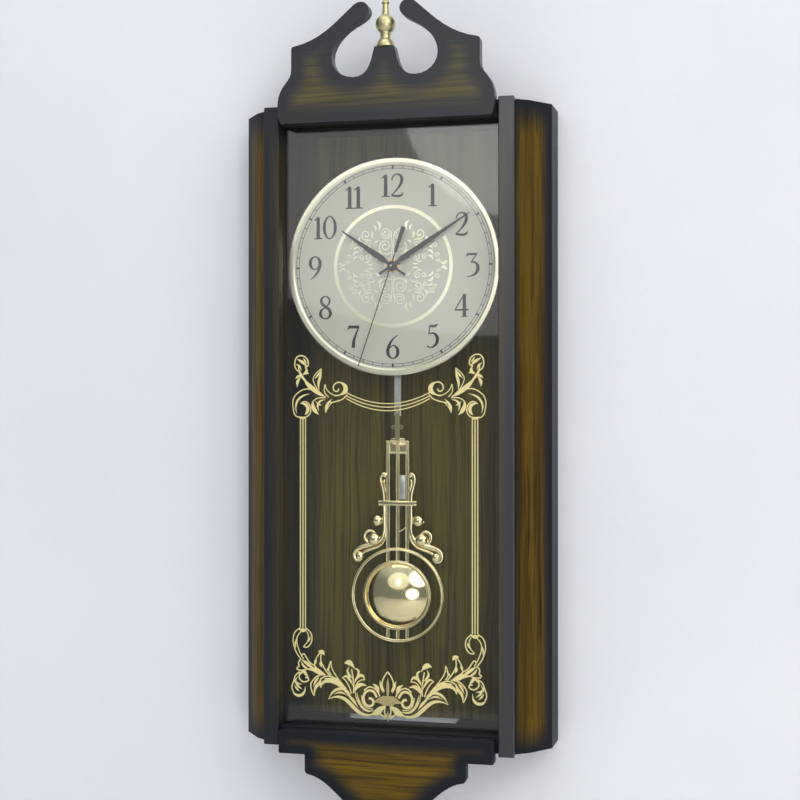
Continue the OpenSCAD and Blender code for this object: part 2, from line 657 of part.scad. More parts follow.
// Pendulum
module at_pivot() translate([0, 0, pivot_z]) children();
module pivot_clip() color(steel) at_pivot() {
    ring_y(pivot_r + press_play, 2.2, arm_y + 2.4, arm_y + 3);
}
module pendulum_arm() color("#2b2b2e") at_pivot() difference() {
    union() {
        rod_y(3, arm_y, arm_y + 2.1);
        block(-2.5, 2.5, arm_y, arm_y + 1.2, -30, -2);
        at([0, drive_z + pivot_drop], 0) rod_y(5.2, arm_y, arm_y + 1.2);
        block(-2.5, 2.5, arm_y, arm_y + 1.2 + rod_t, -24, -20);
    }
    rod_y(pivot_r + turn_play, arm_y - 1, arm_y + 4);
    at([0, drive_z + pivot_drop], 0) rod_y(4 + press_play, arm_y - 1, arm_y + 4);
}
module pendulum_magnet() color("#55585c") at_pivot() at([0, drive_z + pivot_drop], 0)
    rod_y(4, arm_y - 0.1, arm_y + 1.4);
rod_y0 = arm_y + 1.2;
module pendulum_rod() color("#c9ccc4") block(-rod_w / 2, rod_w / 2, rod_y0, rod_y0 + rod_t,
    lyre_top + hook_h - 8, rod_top);
// The hook hangs the gilt frame on the rod
module pendulum_hook() color(gilt) {
    hook_top = lyre_top + hook_h;
    difference() {
        block(-2.2, 2.2, rod_y0 - 1.2, rod_y0, lyre_top, hook_top);
        translate([0, 0, hook_top - 5]) rod_y(1, rod_y0 - 2, rod_y0 + 1);
    }
    both() translate([3.4, 0, lyre_top + 12]) ring_y(0.8, 1.9, rod_y0 - 1.2, rod_y0);
}
// One flank of the gilt frame, in the plane of the pendulum, heights over the bob's centre
flank_x = bar_pitch + 5;
flank = concat(
    bezier([flank_x, 78], [flank_x, 60], [flank_x - 0.5, 52], [flank_x + 3, 45]),
    bezier([flank_x + 3, 45], [23, 39], [30, 39], [40, 28]),
    bezier([40, 28], [42, 25], [40, 20], [36, 22], 4),
    bezier([36, 22], [30, 30], [22, 34], [15, 39.5]),
    bezier([15, 39.5], [bar_pitch + 2, 42], [bar_pitch + 1, 60], [bar_pitch + 1, 78]));
module pendulum_lyre() color(gilt) {
    for (x = [-bar_pitch, 0, bar_pitch]) translate([x, 0, 0])
        block(-bar_w / 2, bar_w / 2, bar_front, bar_back, bob_z - ring_r + 1, lyre_top - 0.5);
    block(-bar_pitch - bar_w / 2, bar_pitch + bar_w / 2, bar_front, bar_back,
        lyre_top - cap_h, lyre_top);
    block(-collar_w / 2, collar_w / 2, bar_front - 0.8, bar_back, collar_z, collar_z + collar_h);
    both() {
        translate([0, 0, bob_z]) slab(bar_front, bar_back) polygon(flank);
        translate([bar_pitch + 4.9, 0, collar_z + 15]) ring_y(1.8, 3.8, bar_front, bar_back);
        block(bar_pitch + 1, bar_pitch + 5, bar_front, bar_back, collar_z + 4, collar_z + 12.6);
        translate([flank_x + knob_r - 0.3, bar_front + bar_t / 2, knob_z]) sphere(knob_r);
        translate([25.5, 0, scroll_z + 1.6]) ring_y(2.2, 6.4, bar_front, bar_back);
    }
}
module pendulum_ring() color(gilt) translate([0, 0, bob_z])
    ring_y(ring_r - ring_w, ring_r, bar_front - 1.8, bar_front);
module bob_back() color(gilt) translate([0, 0, bob_z])
    rod_y(bob_r - bezel_w, bar_front - 1, bar_front);
module pendulum_bob() color(gilt) translate([0, bar_front - 1, bob_z]) {
    cap_r = bob_r - bezel_w;
    sphere_r = (cap_r * cap_r + bob_rise * bob_rise) / (2 * bob_rise);
    rotate([90, 0, 0]) rotate_extrude($fn = 96) intersection() {
        translate([0, bob_rise - sphere_r]) difference() {
            circle(sphere_r, $fn = 360);
            circle(sphere_r - 1, $fn = 360);
        }
        square([cap_r, bob_rise + 1]);
    }
}
module bob_bezel() color(gilt) translate([0, 0, bob_z])
    ring_y(bob_r - bezel_w, bob_r, bar_front - 3, bar_front);

left_side_board();
right_side_board();
top_board();
bottom_board();
case_dowels();
left_wing();
right_wing();
wing_caps();
pediment();
apron();
finial();
glass_pane();
back_panel();
panel_screws();
hanger_plate();
hanger_screws();
dial_plate();
dial_rim();
dial_posts();
post_screws();
movement_case();
movement_cover();
cover_screws();
centre_bush();
fixing_washer();
fixing_nut();
battery();
battery_contacts();
circuit_board();
motor_bobbin();
motor_winding();
stator();
drive_bobbin();
drive_winding();
hour_wheel();
hour_hand();
minute_wheel();
minute_hand();
second_wheel();
second_hand();
third_wheel();
setting_wheel();
set_knob();
intermediate_wheel();
rotor_pinion();
rotor_magnet();
pivot_clip();
pendulum_arm();
pendulum_magnet();
pendulum_rod();
pendulum_hook();
pendulum_lyre();
pendulum_ring();
bob_back();
pendulum_bob();
bob_bezel();
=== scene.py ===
import json
import math
import bmesh
import bpy
from mathutils import Matrix, Vector, kdtree


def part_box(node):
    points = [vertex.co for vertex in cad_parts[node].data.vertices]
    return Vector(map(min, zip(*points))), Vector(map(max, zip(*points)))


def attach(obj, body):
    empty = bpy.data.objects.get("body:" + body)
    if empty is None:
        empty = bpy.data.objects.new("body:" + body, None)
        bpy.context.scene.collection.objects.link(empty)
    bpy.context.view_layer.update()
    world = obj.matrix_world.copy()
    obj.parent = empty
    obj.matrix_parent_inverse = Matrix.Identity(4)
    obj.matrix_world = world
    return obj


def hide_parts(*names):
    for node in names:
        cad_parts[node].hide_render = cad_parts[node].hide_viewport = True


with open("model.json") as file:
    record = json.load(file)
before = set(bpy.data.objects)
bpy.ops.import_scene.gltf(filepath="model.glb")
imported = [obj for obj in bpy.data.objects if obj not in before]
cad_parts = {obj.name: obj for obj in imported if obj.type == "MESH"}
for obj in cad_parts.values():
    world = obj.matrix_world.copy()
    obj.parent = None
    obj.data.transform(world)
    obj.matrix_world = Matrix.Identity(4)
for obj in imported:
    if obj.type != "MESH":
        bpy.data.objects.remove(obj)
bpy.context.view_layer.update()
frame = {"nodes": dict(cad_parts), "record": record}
nodes = frame["nodes"]
mm = 0.001
print("frame loaded,", len(nodes), "nodes")

# camera, wall, floor and lamps
cameraPlace = dict(at=(0.3024, -1.2721, -0.1931), turn=(90.22, 0, 13.56), lens=65.52)
room = dict(
    wallY=0.0012, wallWidth=7.0, wallHeight=3.4, floorZ=-1.3, floorSize=8.0,
    wallLight=(0.80, 0.805, 0.83, 1), wallShade=(0.75, 0.757, 0.79, 1),
    wallRoughness=0.85, wallGrain=160, wallRelief=0.0006,
    floorColour=(0.72, 0.71, 0.69, 1), floorRoughness=0.8,
    air=(0.86, 0.92, 1.0, 1), airStrength=0.26, airOverhead=0.85, airRise=(0.30, 0.80),
)
lamps = [
    # name, place, aims at, width, height, shape, watts, colour
    ("keyLamp", (1.9, -2.3, 1.3), (0, 0, -0.2), 2.4, 2.1, "ELLIPSE", 37, (1.0, 0.985, 0.96)),
    ("fillLamp", (1.3, -3.0, -0.5), (0, 0, -0.2), 1.6, 1.3, "ELLIPSE", 15, (0.94, 0.97, 1.0)),
    ("topLamp", (0.0, -1.0, 2.1), (0, 0, 0), 2.2, 1.2, "RECTANGLE", 12, (0.93, 0.96, 1.0)),
    ("glassLamp", (-0.35, -2.5, 0.86), (-0.2, 0, 0.1), 2.4, 1.8, "ELLIPSE", 9.5, (1.0, 0.99, 0.96)),
    ("glowLamp", (-0.30, -2.45, 0.66), (0.0, 0, 0.0), 0.55, 0.75, "ELLIPSE", 1.9, (1.0, 0.98, 0.95)),
    ("backLamp", (0.8, 2.0, 0.9), (0, 0, -0.2), 2.0, 2.0, "RECTANGLE", 34, (1.0, 0.99, 0.97)),
]


def aim(thing, target):
    direction = Vector(target) - thing.location
    thing.rotation_euler = direction.to_track_quat("-Z", "Y").to_euler()


def makeCamera(place):
    lens = bpy.data.cameras.new("camera")
    lens.lens = place["lens"]
    lens.sensor_width = 36
    lens.clip_start = 0.05
    camera = bpy.data.objects.new("camera", lens)
    camera.location = place["at"]
    camera.rotation_euler = [math.radians(a) for a in place["turn"]]
    bpy.context.scene.collection.objects.link(camera)
    bpy.context.scene.camera = camera


def addNode(tree, kind, inputs=None, **settings):
    made = tree.nodes.new(kind)
    for key, value in settings.items():
        setattr(made, key, value)
    for key, value in (inputs or {}).items():
        if isinstance(value, bpy.types.NodeSocket):
            tree.links.new(value, made.inputs[key])
        else:
            made.inputs[key].default_value = value
    return made


def newMaterial(name, **inputs):
    material = bpy.data.materials.new(name)
    material.use_nodes = True
    tree = material.node_tree
    shader = tree.nodes["Principled BSDF"]
    for key, value in inputs.items():
        shader.inputs[key.replace("_", " ")].default_value = value
    return material, tree, shader


def objectPlace(tree, scale=(1, 1, 1), centre=(0, 0, 0)):
    # the piece's own coordinates, moved to a centre and then scaled
    where = addNode(tree, "ShaderNodeTexCoord").outputs["Object"]
    moved = addNode(tree, "ShaderNodeVectorMath", {0: where, 1: centre}, operation="SUBTRACT")
    grown = addNode(tree, "ShaderNodeVectorMath", {0: moved.outputs[0], 1: scale}, operation="MULTIPLY")
    return grown.outputs[0]


def noise(tree, vector, scale, detail=3, roughness=0.55):
    made = addNode(tree, "ShaderNodeTexNoise", {
        "Vector": vector, "Scale": scale, "Detail": detail, "Roughness": roughness})
    return made.outputs["Fac"]


def ramp(tree, factor, stops):
    made = addNode(tree, "ShaderNodeValToRGB", {"Fac": factor})
    points = made.color_ramp.elements
    while len(points) < len(stops):
        points.new(0.5)
    for point, (place, colour) in zip(points, stops):
        point.position = place
        point.color = tuple(colour) + (1,)
    return made.outputs["Color"]


def spread(tree, value, low, high, start=0, end=1, kind="LINEAR"):
    made = addNode(tree, "ShaderNodeMapRange", {
        "Value": value, "From Min": low, "From Max": high, "To Min": start, "To Max": end},
        interpolation_type=kind)
    return made.outputs["Result"]


def combine(tree, operation, a, b):
    return addNode(tree, "ShaderNodeMath", {0: a, 1: b}, operation=operation).outputs[0]


def mixColours(tree, factor, a, b, blend="MIX"):
    made = addNode(tree, "ShaderNodeMix", data_type="RGBA", blend_type=blend)
    for socket, value in ((made.inputs[0], factor), (made.inputs[6], a), (made.inputs[7], b)):
        if isinstance(value, bpy.types.NodeSocket):
            tree.links.new(value, socket)
        else:
            socket.default_value = value[:3] + (1,) if isinstance(value, tuple) else value
    return made.outputs[2]


def bump(tree, shader, height, distance, strength=1.0):
    made = addNode(tree, "ShaderNodeBump", {
        "Height": height, "Distance": distance, "Strength": strength})
    tree.links.new(made.outputs["Normal"], shader.inputs["Normal"])


def makeRoom():
    wallMesh = bmesh.new()
    bmesh.ops.create_grid(wallMesh, x_segments=1, y_segments=1, size=0.5)
    rise = room["floorZ"] + room["wallHeight"] / 2
    place = (Matrix.Translation((0, room["wallY"], rise)) @ Matrix.Rotation(math.radians(90), 4, "X")
             @ Matrix.Diagonal((room["wallWidth"], room["wallHeight"], 1, 1)))
    bmesh.ops.transform(wallMesh, matrix=place, verts=wallMesh.verts)
    wall = meshObject("wall", wallMesh)
    material, tree, shader = newMaterial("wallPaint", Roughness=room["wallRoughness"])
    place = objectPlace(tree)
    blotch = noise(tree, place, 3.0, 5)
    colour = mixColours(tree, spread(tree, blotch, 0.35, 0.7), room["wallLight"], room["wallShade"])
    tree.links.new(colour, shader.inputs["Base Color"])
    bump(tree, shader, noise(tree, place, room["wallGrain"], 4), room["wallRelief"], 0.35)
    # seen from behind, the wall lets the eye and the lamps through
    clear = addNode(tree, "ShaderNodeBsdfTransparent")
    behind = addNode(tree, "ShaderNodeNewGeometry").outputs["Backfacing"]
    both = addNode(tree, "ShaderNodeMixShader", {0: behind, 1: shader.outputs[0], 2: clear.outputs[0]})
    tree.links.new(both.outputs[0], tree.nodes["Material Output"].inputs["Surface"])
    wall.data.materials.append(material)
    wall.visible_shadow = False
    floorMesh = bmesh.new()
    bmesh.ops.create_grid(floorMesh, x_segments=1, y_segments=1, size=room["floorSize"] / 2)
    bmesh.ops.translate(floorMesh, vec=(0, 0, room["floorZ"]), verts=floorMesh.verts)
    floor = meshObject("floor", floorMesh)
    paint = newMaterial("floorPaint", Roughness=room["floorRoughness"], Base_Color=room["floorColour"])[0]
    floor.data.materials.append(paint)


def makeLamps():
    for name, place, target, width, height, shape, watts, colour in lamps:
        light = bpy.data.lights.new(name, "AREA")
        light.shape = shape
        light.size = width
        light.size_y = height
        light.energy = watts
        light.color = colour
        lamp = bpy.data.objects.new(name, light)
        lamp.location = place
        aim(lamp, target)
        bpy.context.scene.collection.objects.link(lamp)
    world = bpy.data.worlds.new("air")
    world.use_nodes = True
    tree = world.node_tree
    sky = tree.nodes["Background"]
    sky.inputs["Color"].default_value = room["air"]
    # brighter overhead than at the horizon
    way = addNode(tree, "ShaderNodeTexCoord").outputs["Generated"]
    rise = addNode(tree, "ShaderNodeSeparateXYZ", {0: way}).outputs[2]
    glow = spread(tree, rise, *room["airRise"], room["airStrength"], room["airOverhead"], "SMOOTHSTEP")
    tree.links.new(glow, sky.inputs["Strength"])
    bpy.context.scene.world = world
    bpy.context.scene.view_settings.view_transform = "Standard"


def meshObject(name, mesh, smooth=None, weighted=False):
    # turns a bmesh into an object at the origin, smoothed below an angle
    data = bpy.data.meshes.new(name)
    mesh.to_mesh(data)
    mesh.free()
    thing = bpy.data.objects.new(name, data)
    bpy.context.scene.collection.objects.link(thing)
    if smooth is not None:
        data.shade_smooth()
        data.set_sharp_from_angle(angle=math.radians(smooth))
    if weighted:
        even = thing.modifiers.new("evenNormals", "WEIGHTED_NORMAL")
        even.keep_sharp = True
    return thing


def settle(thing, body, material, slot, *stands):
    # the piece takes its finish, its body and the nodes that it stands for
    thing.data.materials.clear()
    thing.data.materials.append(material)
    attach(thing, body)
    if stands:
        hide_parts(*stands)


def cadCopy(node):
    # a merged copy of a node's triangles, with its flat faces whole again
    mesh = bmesh.new()
    mesh.from_mesh(nodes[node].data)
    bmesh.ops.remove_doubles(mesh, verts=mesh.verts, dist=1e-6)
    bmesh.ops.dissolve_limit(mesh, angle_limit=math.radians(0.6), verts=mesh.verts, edges=mesh.edges)
    return mesh


def easeEdges(mesh, width, segments=3, sharpest=35, shortest=0.0):
    edges = [e for e in mesh.edges if len(e.link_faces) == 2
             and e.calc_face_angle(0) > math.radians(sharpest) and e.calc_length() > shortest]
    bmesh.ops.bevel(mesh, geom=edges, offset=width, offset_type="OFFSET", affect="EDGES",
                    segments=segments, profile=0.5, material=-1, clamp_overlap=True)


def easedPiece(node, body, material, slot, width, shortest=0.0, segments=3):
    mesh = cadCopy(node)
    easeEdges(mesh, width, segments, shortest=shortest)
    thing = meshObject(node + "_eased", mesh, smooth=35, weighted=True)
    settle(thing, body, material, slot, node)


print("stage")
makeCamera(cameraPlace)
makeRoom()
makeLamps()

# stained and lacquered wood: blue-black edges that fade to olive ochre along the grain
stain = dict(
    edge=(0.0072, 0.0092, 0.0128), dark=(0.040, 0.022, 0.003), light=(0.160, 0.096, 0.006),
    roughness=0.46, coatRoughness=0.24, stretch=0.018, swayAcross=0.35, swayAlong=0.12, swaySize=60,
    swayReach=0.012, poreSize=7, veinSize=2.6, cloudSize=28, relief=0.0005,
)


def stainedWood(name, along, fades=(), attribute=None, strength=1.0, brightness=1.0, streak=150,
                seed=0.0, shine=0.12, coat=0.02):
    material, tree, shader = newMaterial(
        name, Roughness=stain["roughness"], Specular_IOR_Level=shine, Coat_Weight=coat,
        Coat_Roughness=stain["coatRoughness"])
    stretch = [1.0, 1.0, 1.0]
    stretch[along] = stain["stretch"]
    sway = [stain["swayAcross"]] * 3
    sway[along] = stain["swayAlong"]
    place = objectPlace(tree, stretch, (seed, seed, seed))
    drift = noise(tree, objectPlace(tree, sway, (seed, 0, 0)), stain["swaySize"], 2)
    shifts = {axis: combine(tree, "MULTIPLY", drift, stain["swayReach"] if axis != along else 0.0)
              for axis in (0, 2)}
    shift = addNode(tree, "ShaderNodeCombineXYZ", shifts).outputs[0]
    bent = addNode(tree, "ShaderNodeVectorMath", {0: place, 1: shift}, operation="ADD").outputs[0]
    streaks = noise(tree, bent, streak, 4, 0.6)
    pores = noise(tree, place, streak * stain["poreSize"], 2, 0.5)
    lines = noise(tree, bent, streak * stain["veinSize"], 3, 0.5)
    middle = [c * 0.74 for c in stain["light"]]
    tone = ramp(tree, streaks, [(0.28, stain["dark"]), (0.46, middle), (0.66, stain["light"])])
    veins = spread(tree, lines, 0.38, 0.50, 0.52, 1.0)
    tone = mixColours(tree, 1.0, tone, ramp(tree, veins, [(0, (0, 0, 0)), (1, (1, 1, 1))]), "MULTIPLY")
    tone = mixColours(tree, spread(tree, pores, 0.34, 0.44, 0.5, 0.0), tone, stain["dark"])
    tint = brightness if isinstance(brightness, tuple) else (brightness,) * 3
    tone = mixColours(tree, 1.0, tone, tint, "MULTIPLY")
    mask = strength
    where = addNode(tree, "ShaderNodeTexCoord").outputs["Object"]
    parts = addNode(tree, "ShaderNodeSeparateXYZ", {0: where})
    cloud = noise(tree, objectPlace(tree, (1, 1, 1), (seed, 0, seed)), stain["cloudSize"], 3)
    for axis, start, end in fades:
        faded = spread(tree, parts.outputs[axis], start * mm, end * mm, kind="SMOOTHSTEP")
        mask = combine(tree, "MULTIPLY", mask, faded)
    if attribute:
        depth = addNode(tree, "ShaderNodeAttribute", attribute_name=attribute["name"]).outputs["Fac"]
        faded = spread(tree, depth, attribute["start"] * mm, attribute["end"] * mm, kind="SMOOTHSTEP")
        mask = combine(tree, "MULTIPLY", mask, faded)
    mask = combine(tree, "MULTIPLY", mask, spread(tree, cloud, 0.25, 0.6, 0.84, 1.0))
    lacquer = mixColours(tree, spread(tree, streaks, 0.3, 0.7), stain["edge"],
                         tuple(c * 1.35 for c in stain["edge"]))
    tree.links.new(mixColours(tree, mask, lacquer, tone), shader.inputs["Base Color"])
    gloss = spread(tree, pores, 0.3, 0.6, stain["roughness"] + 0.12, stain["roughness"])
    tree.links.new(gloss, shader.inputs["Roughness"])
    relief = combine(tree, "ADD", combine(tree, "MULTIPLY", pores, 0.5), streaks)
    bump(tree, shader, relief, stain["relief"], 0.25)
    return material


boardSetting = dict(
    # fades and inner edges in mm from the inside of the case
    ease=0.9 * mm, bottomEase=1.4 * mm, panelEase=0.4 * mm, shortest=5 * mm,
    endFade=60, stileOut=12, stileIn=1, crossFade=40, panelOut=6, panelIn=30, stileStrength=0.55,
    stiles=(
        # side, name, node, its own finish
        (1, "stileWood", "right_side_board", dict(shine=0.5, coat=0.8)),
        (-1, "stileWoodLeft", "left_side_board", dict(seed=0.4, shine=0.3, coat=0.1)),
    ),
)


def boards(setting):
    inner = -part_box("left_side_board")[1].x / mm
    low, high = (corner.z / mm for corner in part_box("right_side_board"))
    ends = [(2, low, low + setting["endFade"]), (2, high, high - setting["endFade"])]
    strength = setting["stileStrength"]
    for side, name, node, gloss in setting["stiles"]:
        across = (0, side * (inner + setting["stileOut"]), side * (inner - setting["stileIn"]))
        wood = stainedWood(name, 2, [across] + ends, strength=strength, brightness=strength, **gloss)
        easedPiece(node, "case", wood, "wood_stained", setting["ease"], setting["shortest"])
    fades = [(0, side * inner, side * (inner - setting["crossFade"])) for side in (-1, 1)]
    cross = stainedWood("crossWood", 0, fades, strength=0.08, brightness=0.5, seed=1.3, shine=0.1)
    easedPiece("top_board", "case", cross, "wood_stained", setting["ease"], setting["shortest"])
    easedPiece("bottom_board", "case", cross, "wood_stained", setting["bottomEase"], setting["shortest"])
    fades = [(0, side * (inner + setting["panelOut"]), side * (inner - setting["panelIn"]))
             for side in (-1, 1)]
    panel = stainedWood("panelWood", 2, fades, strength=0.9, brightness=(1.0, 1.22, 3.4),
                        streak=120, seed=2.1)
    easedPiece("back_panel", "case", panel, "wood_stained", setting["panelEase"], setting["shortest"], 1)


wingSetting = dict(
    # places and fades across and up, in mm
    across=[(105, 117), (135, 127)], footFade=26, headFade=34, brightness=(0.84, 0.8, 0.5),
    ease=0.8 * mm, shortest=5 * mm, capEase=0.6 * mm, capShortest=4 * mm,
)


def wings(setting):
    for side, node in ((1, "right_wing"), (-1, "left_wing")):
        low, high = (corner.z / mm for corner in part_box(node))
        fades = [(0, side * start, side * end) for start, end in setting["across"]]
        fades += [(2, low, low + setting["footFade"]), (2, high, high - setting["headFade"])]
        wood = stainedWood(node + "Wood", 2, fades, brightness=setting["brightness"], seed=3.0 + side)
        easedPiece(node, "case", wood, "wood_stained", setting["ease"], setting["shortest"])
    cap = stainedWood("capWood", 0, strength=0.0, seed=5.0)
    easedPiece("wing_caps", "case", cap, "wood_stained", setting["capEase"], setting["capShortest"])


def shapedBoard(node, setting):
    # a sawn board with eased edges, and its depth from the outline kept as an attribute
    mesh = cadCopy(node)
    front = min(v.co.y for v in mesh.verts)
    outline = [e for e in mesh.edges if e.calc_face_angle(0) > math.radians(35)
               and all(abs(v.co.y - front) < 1e-5 for v in e.verts)]
    samples = []
    for edge in outline:
        steps = max(1, int(edge.calc_length() / mm))
        start, end = (v.co.copy() for v in edge.verts)
        samples += [start.lerp(end, k / steps) for k in range(steps)]
    easeEdges(mesh, setting["ease"], 4)
    low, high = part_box(node)
    for axis in (0, 2):
        place = low[axis] + setting["grid"]
        while place < high[axis]:
            point = Vector((0, 0, 0))
            point[axis] = place
            normal = Vector((0, 0, 0))
            normal[axis] = 1
            bmesh.ops.bisect_plane(mesh, geom=mesh.verts[:] + mesh.edges[:] + mesh.faces[:],
                                   plane_co=point, plane_no=normal, dist=1e-7)
            place += setting["grid"]
    near = kdtree.KDTree(len(samples))
    for index, sample in enumerate(samples):
        near.insert(sample, index)
    near.balance()
    layer = mesh.verts.layers.float.new("edgeDepth")
    for vert in mesh.verts:
        if vert.co.y < front + 2 * setting["ease"] + 1e-5:
            vert[layer] = near.find((vert.co.x, front, vert.co.z))[2]
    edge = dict(name="edgeDepth", start=setting["start"], end=setting["end"])
    wood = stainedWood(node + "Wood", 0, attribute=edge, **setting["wood"])
    thing = meshObject(node + "_eased", mesh, smooth=35, weighted=True)
    settle(thing, "case", wood, "wood_stained", node)


pedimentSetting = dict(
    ease=1.6 * mm, grid=4 * mm, start=6, end=21,
    wood=dict(strength=0.62, brightness=(0.85, 1.05, 2.2), seed=6.1, shine=0.4, coat=0.2),
)
apronSetting = dict(
    ease=1.6 * mm, grid=4 * mm, start=5, end=21, wood=dict(seed=7.7, shine=0.15, coat=0.03),
)

print("wood")
boards(boardSetting)
wings(wingSetting)
shapedBoard("pediment", pedimentSetting)
shapedBoard("apron", apronSetting)


def plainFinish(name, colour, roughness, metallic=0.0, wear=0.12, grain=300, relief=0.00003):
    # metal, plastic or ink with slight mottling of its colour and gloss
    material, tree, shader = newMaterial(name, Metallic=metallic)
    place = objectPlace(tree)
    cloud = noise(tree, place, grain, 3)
    fine = noise(tree, place, grain * 8, 2)
    light = tuple(min(1.0, c * (1 + wear)) for c in colour)
    deep = tuple(c * (1 - wear) for c in colour)
    tree.links.new(mixColours(tree, cloud, deep, light), shader.inputs["Base Color"])
    gloss = spread(tree, fine, 0.3, 0.7, roughness * 0.85, min(1.0, roughness * 1.2))
    tree.links.new(gloss, shader.inputs["Roughness"])
    if relief:
        bump(tree, shader, fine, relief, 0.3)
    return material


finishes = {
    "wood_raw": plainFinish("rawWood", (0.42, 0.30, 0.18), 0.7, grain=500),
    "gilt_matt": plainFinish("mattGilt", (0.60, 0.52, 0.29), 0.36, 1.0, 0.08, 900, 0.00002),
    "steel": plainFinish("screwSteel", (0.62, 0.61, 0.57), 0.3, 1.0),
    "black_plastic": plainFinish("blackPlastic", (0.022, 0.022, 0.024), 0.5, grain=900, relief=0.00006),
    "brass": plainFinish("turnedBrass", (0.68, 0.50, 0.21), 0.28, 1.0),
    "battery_skin": plainFinish("batterySkin", (0.05, 0.17, 0.09), 0.25, 0.0, 0.05),
    "board_green": plainFinish("boardGreen", (0.03, 0.16, 0.06), 0.4, 0.0, 0.2),
    "white_plastic": plainFinish("whitePlastic", (0.74, 0.71, 0.63), 0.42, 0.0, 0.05),
    "copper_wire": plainFinish("copperWire", (0.55, 0.20, 0.07), 0.32, 0.9, 0.2, 700),
    "core_steel": plainFinish("coreSteel", (0.33, 0.34, 0.35), 0.42, 1.0, 0.2),
    "magnet_grey": plainFinish("magnetGrey", (0.12, 0.12, 0.13), 0.45, 0.6, 0.2),
    "hand_black": plainFinish("handPaint", (0.030, 0.030, 0.030), 0.38, 0.0, 0.15, 600, 0.00003),
    "gilt_polished": plainFinish("polishedGilt", (0.86, 0.74, 0.42), 0.10, 1.0, 0.05, 250, 0.0),
}


def glassPane():
    # a thin pane: clear, with a mirror sheen that grows towards grazing
    material = bpy.data.materials.new("windowGlass")
    material.use_nodes = True
    tree = material.node_tree
    tree.nodes.clear()
    clear = addNode(tree, "ShaderNodeBsdfTransparent", {"Color": (0.985, 0.992, 0.99, 1)})
    mirror = addNode(tree, "ShaderNodeBsdfGlossy", {"Color": (1, 1, 1, 1), "Roughness": 0.03})
    # the same share of mirror going in and coming out, since the light isn't bent
    inside = addNode(tree, "ShaderNodeNewGeometry").outputs["Backfacing"]
    edge = addNode(tree, "ShaderNodeFresnel", {"IOR": spread(tree, inside, 0, 1, 1.5, 1 / 1.5)})
    both = addNode(tree, "ShaderNodeMixShader", {
        0: edge.outputs[0], 1: clear.outputs[0], 2: mirror.outputs[0]})
    addNode(tree, "ShaderNodeOutputMaterial", {"Surface": both.outputs[0]})
    return material


def brushedRound(name, colour, roughness, anisotropy):
    # metal brushed round a centre, so its highlight falls in two opposite fans
    material, tree, shader = newMaterial(name, Metallic=1.0, Anisotropic=anisotropy)
    place = objectPlace(tree)
    cloud = noise(tree, place, 700, 2)
    tone = mixColours(tree, cloud, tuple(c * 0.93 for c in colour), colour)
    gloss = spread(tree, cloud, 0.3, 0.7, roughness * 0.9, roughness * 1.1)
    tree.links.new(tone, shader.inputs["Base Color"])
    tree.links.new(gloss, shader.inputs["Roughness"])
    tangent = addNode(tree, "ShaderNodeTangent", direction_type="RADIAL", axis="Y")
    tree.links.new(tangent.outputs[0], shader.inputs["Tangent"])
    return material


dialMetal = plainFinish("dialSilver", (0.57, 0.555, 0.46), 0.55, 0.35, 0.03, 1500, 0.00002)
rimMetal = brushedRound("rimGold", (1.0, 0.95, 0.74), 0.31, 0.8)
slotFinish = dict(finishes, dial_silver=dialMetal, rim_gold=rimMetal, glass=glassPane())
nodeSlots = {part["node"]: part["material_slot"] for part in frame["record"]["subparts"]}


def paintNodes():
    # every node that still shows takes the finish of its slot
    for name, thing in nodes.items():
        if nodeSlots[name] in slotFinish:
            thing.data.materials.clear()
            thing.data.materials.append(slotFinish[nodeSlots[name]])


print("finishes")
paintNodes()


def strokeMesh(name, strokes, roundness):
    # each stroke is a list of (x, z, width) in mm, closed when it ends with the word "closed"
    curve = bpy.data.curves.new(name, "CURVE")
    curve.dimensions = "3D"
    curve.resolution_u = 5
    curve.bevel_depth = 0.5 * mm
    curve.bevel_resolution = roundness
    curve.use_fill_caps = True
    for stroke in strokes:
        closed = stroke[-1] == "closed"
        points = stroke[:-1] if closed else stroke
        spline = curve.splines.new("BEZIER")
        spline.bezier_points.add(len(points) - 1)
        spline.use_cyclic_u = closed
        spline.radius_interpolation = "LINEAR" if len(points) == 2 else "CARDINAL"
        for knot, point in zip(spline.bezier_points, points):
            knot.co = (point[0] * mm, 0, point[1] * mm)
            knot.radius = point[2]
            kind = "VECTOR" if len(points) == 2 else "AUTO"
            knot.handle_left_type = kind
            knot.handle_right_type = kind
    thing = bpy.data.objects.new(name, curve)
    bpy.context.scene.collection.objects.link(thing)
    data = bpy.data.meshes.new_from_object(thing.evaluated_get(bpy.context.evaluated_depsgraph_get()))
    bpy.data.objects.remove(thing)
    return data


def inkStrokes(name, strokes, thickness, place):
    # numbers and ornaments are strokes of changing width, pressed to a thin layer of ink
    data = strokeMesh(name, strokes, 1)
    data.transform(place @ Matrix.Diagonal((1, thickness / mm, 1, 1)))
    data.name = name
    made = bpy.data.objects.new(name, data)
    bpy.context.scene.collection.objects.link(made)
    data.shade_flat()
    return made


def brush(kind, width, points):
    # gives a line its widths: a leaf swells in the middle, a taper runs out to a point
    last = len(points) - 1
    stroke = []
    for index, (x, z) in enumerate(points):
        along = index / last
        swell = 1.0
        if kind == "leaf":
            swell = max(0.14, math.sin(math.pi * along) ** 0.8)
        elif kind == "taper":
            swell = max(0.16, (1 - along) ** 0.7)
        stroke.append((x, z, width * swell))
    return stroke


def mirrored(strokes, centre=0.0):
    both = []
    for stroke in strokes:
        both.append(stroke)
        both.append([p if p == "closed" else (2 * centre - p[0], p[1], p[2]) for p in stroke])
    return both


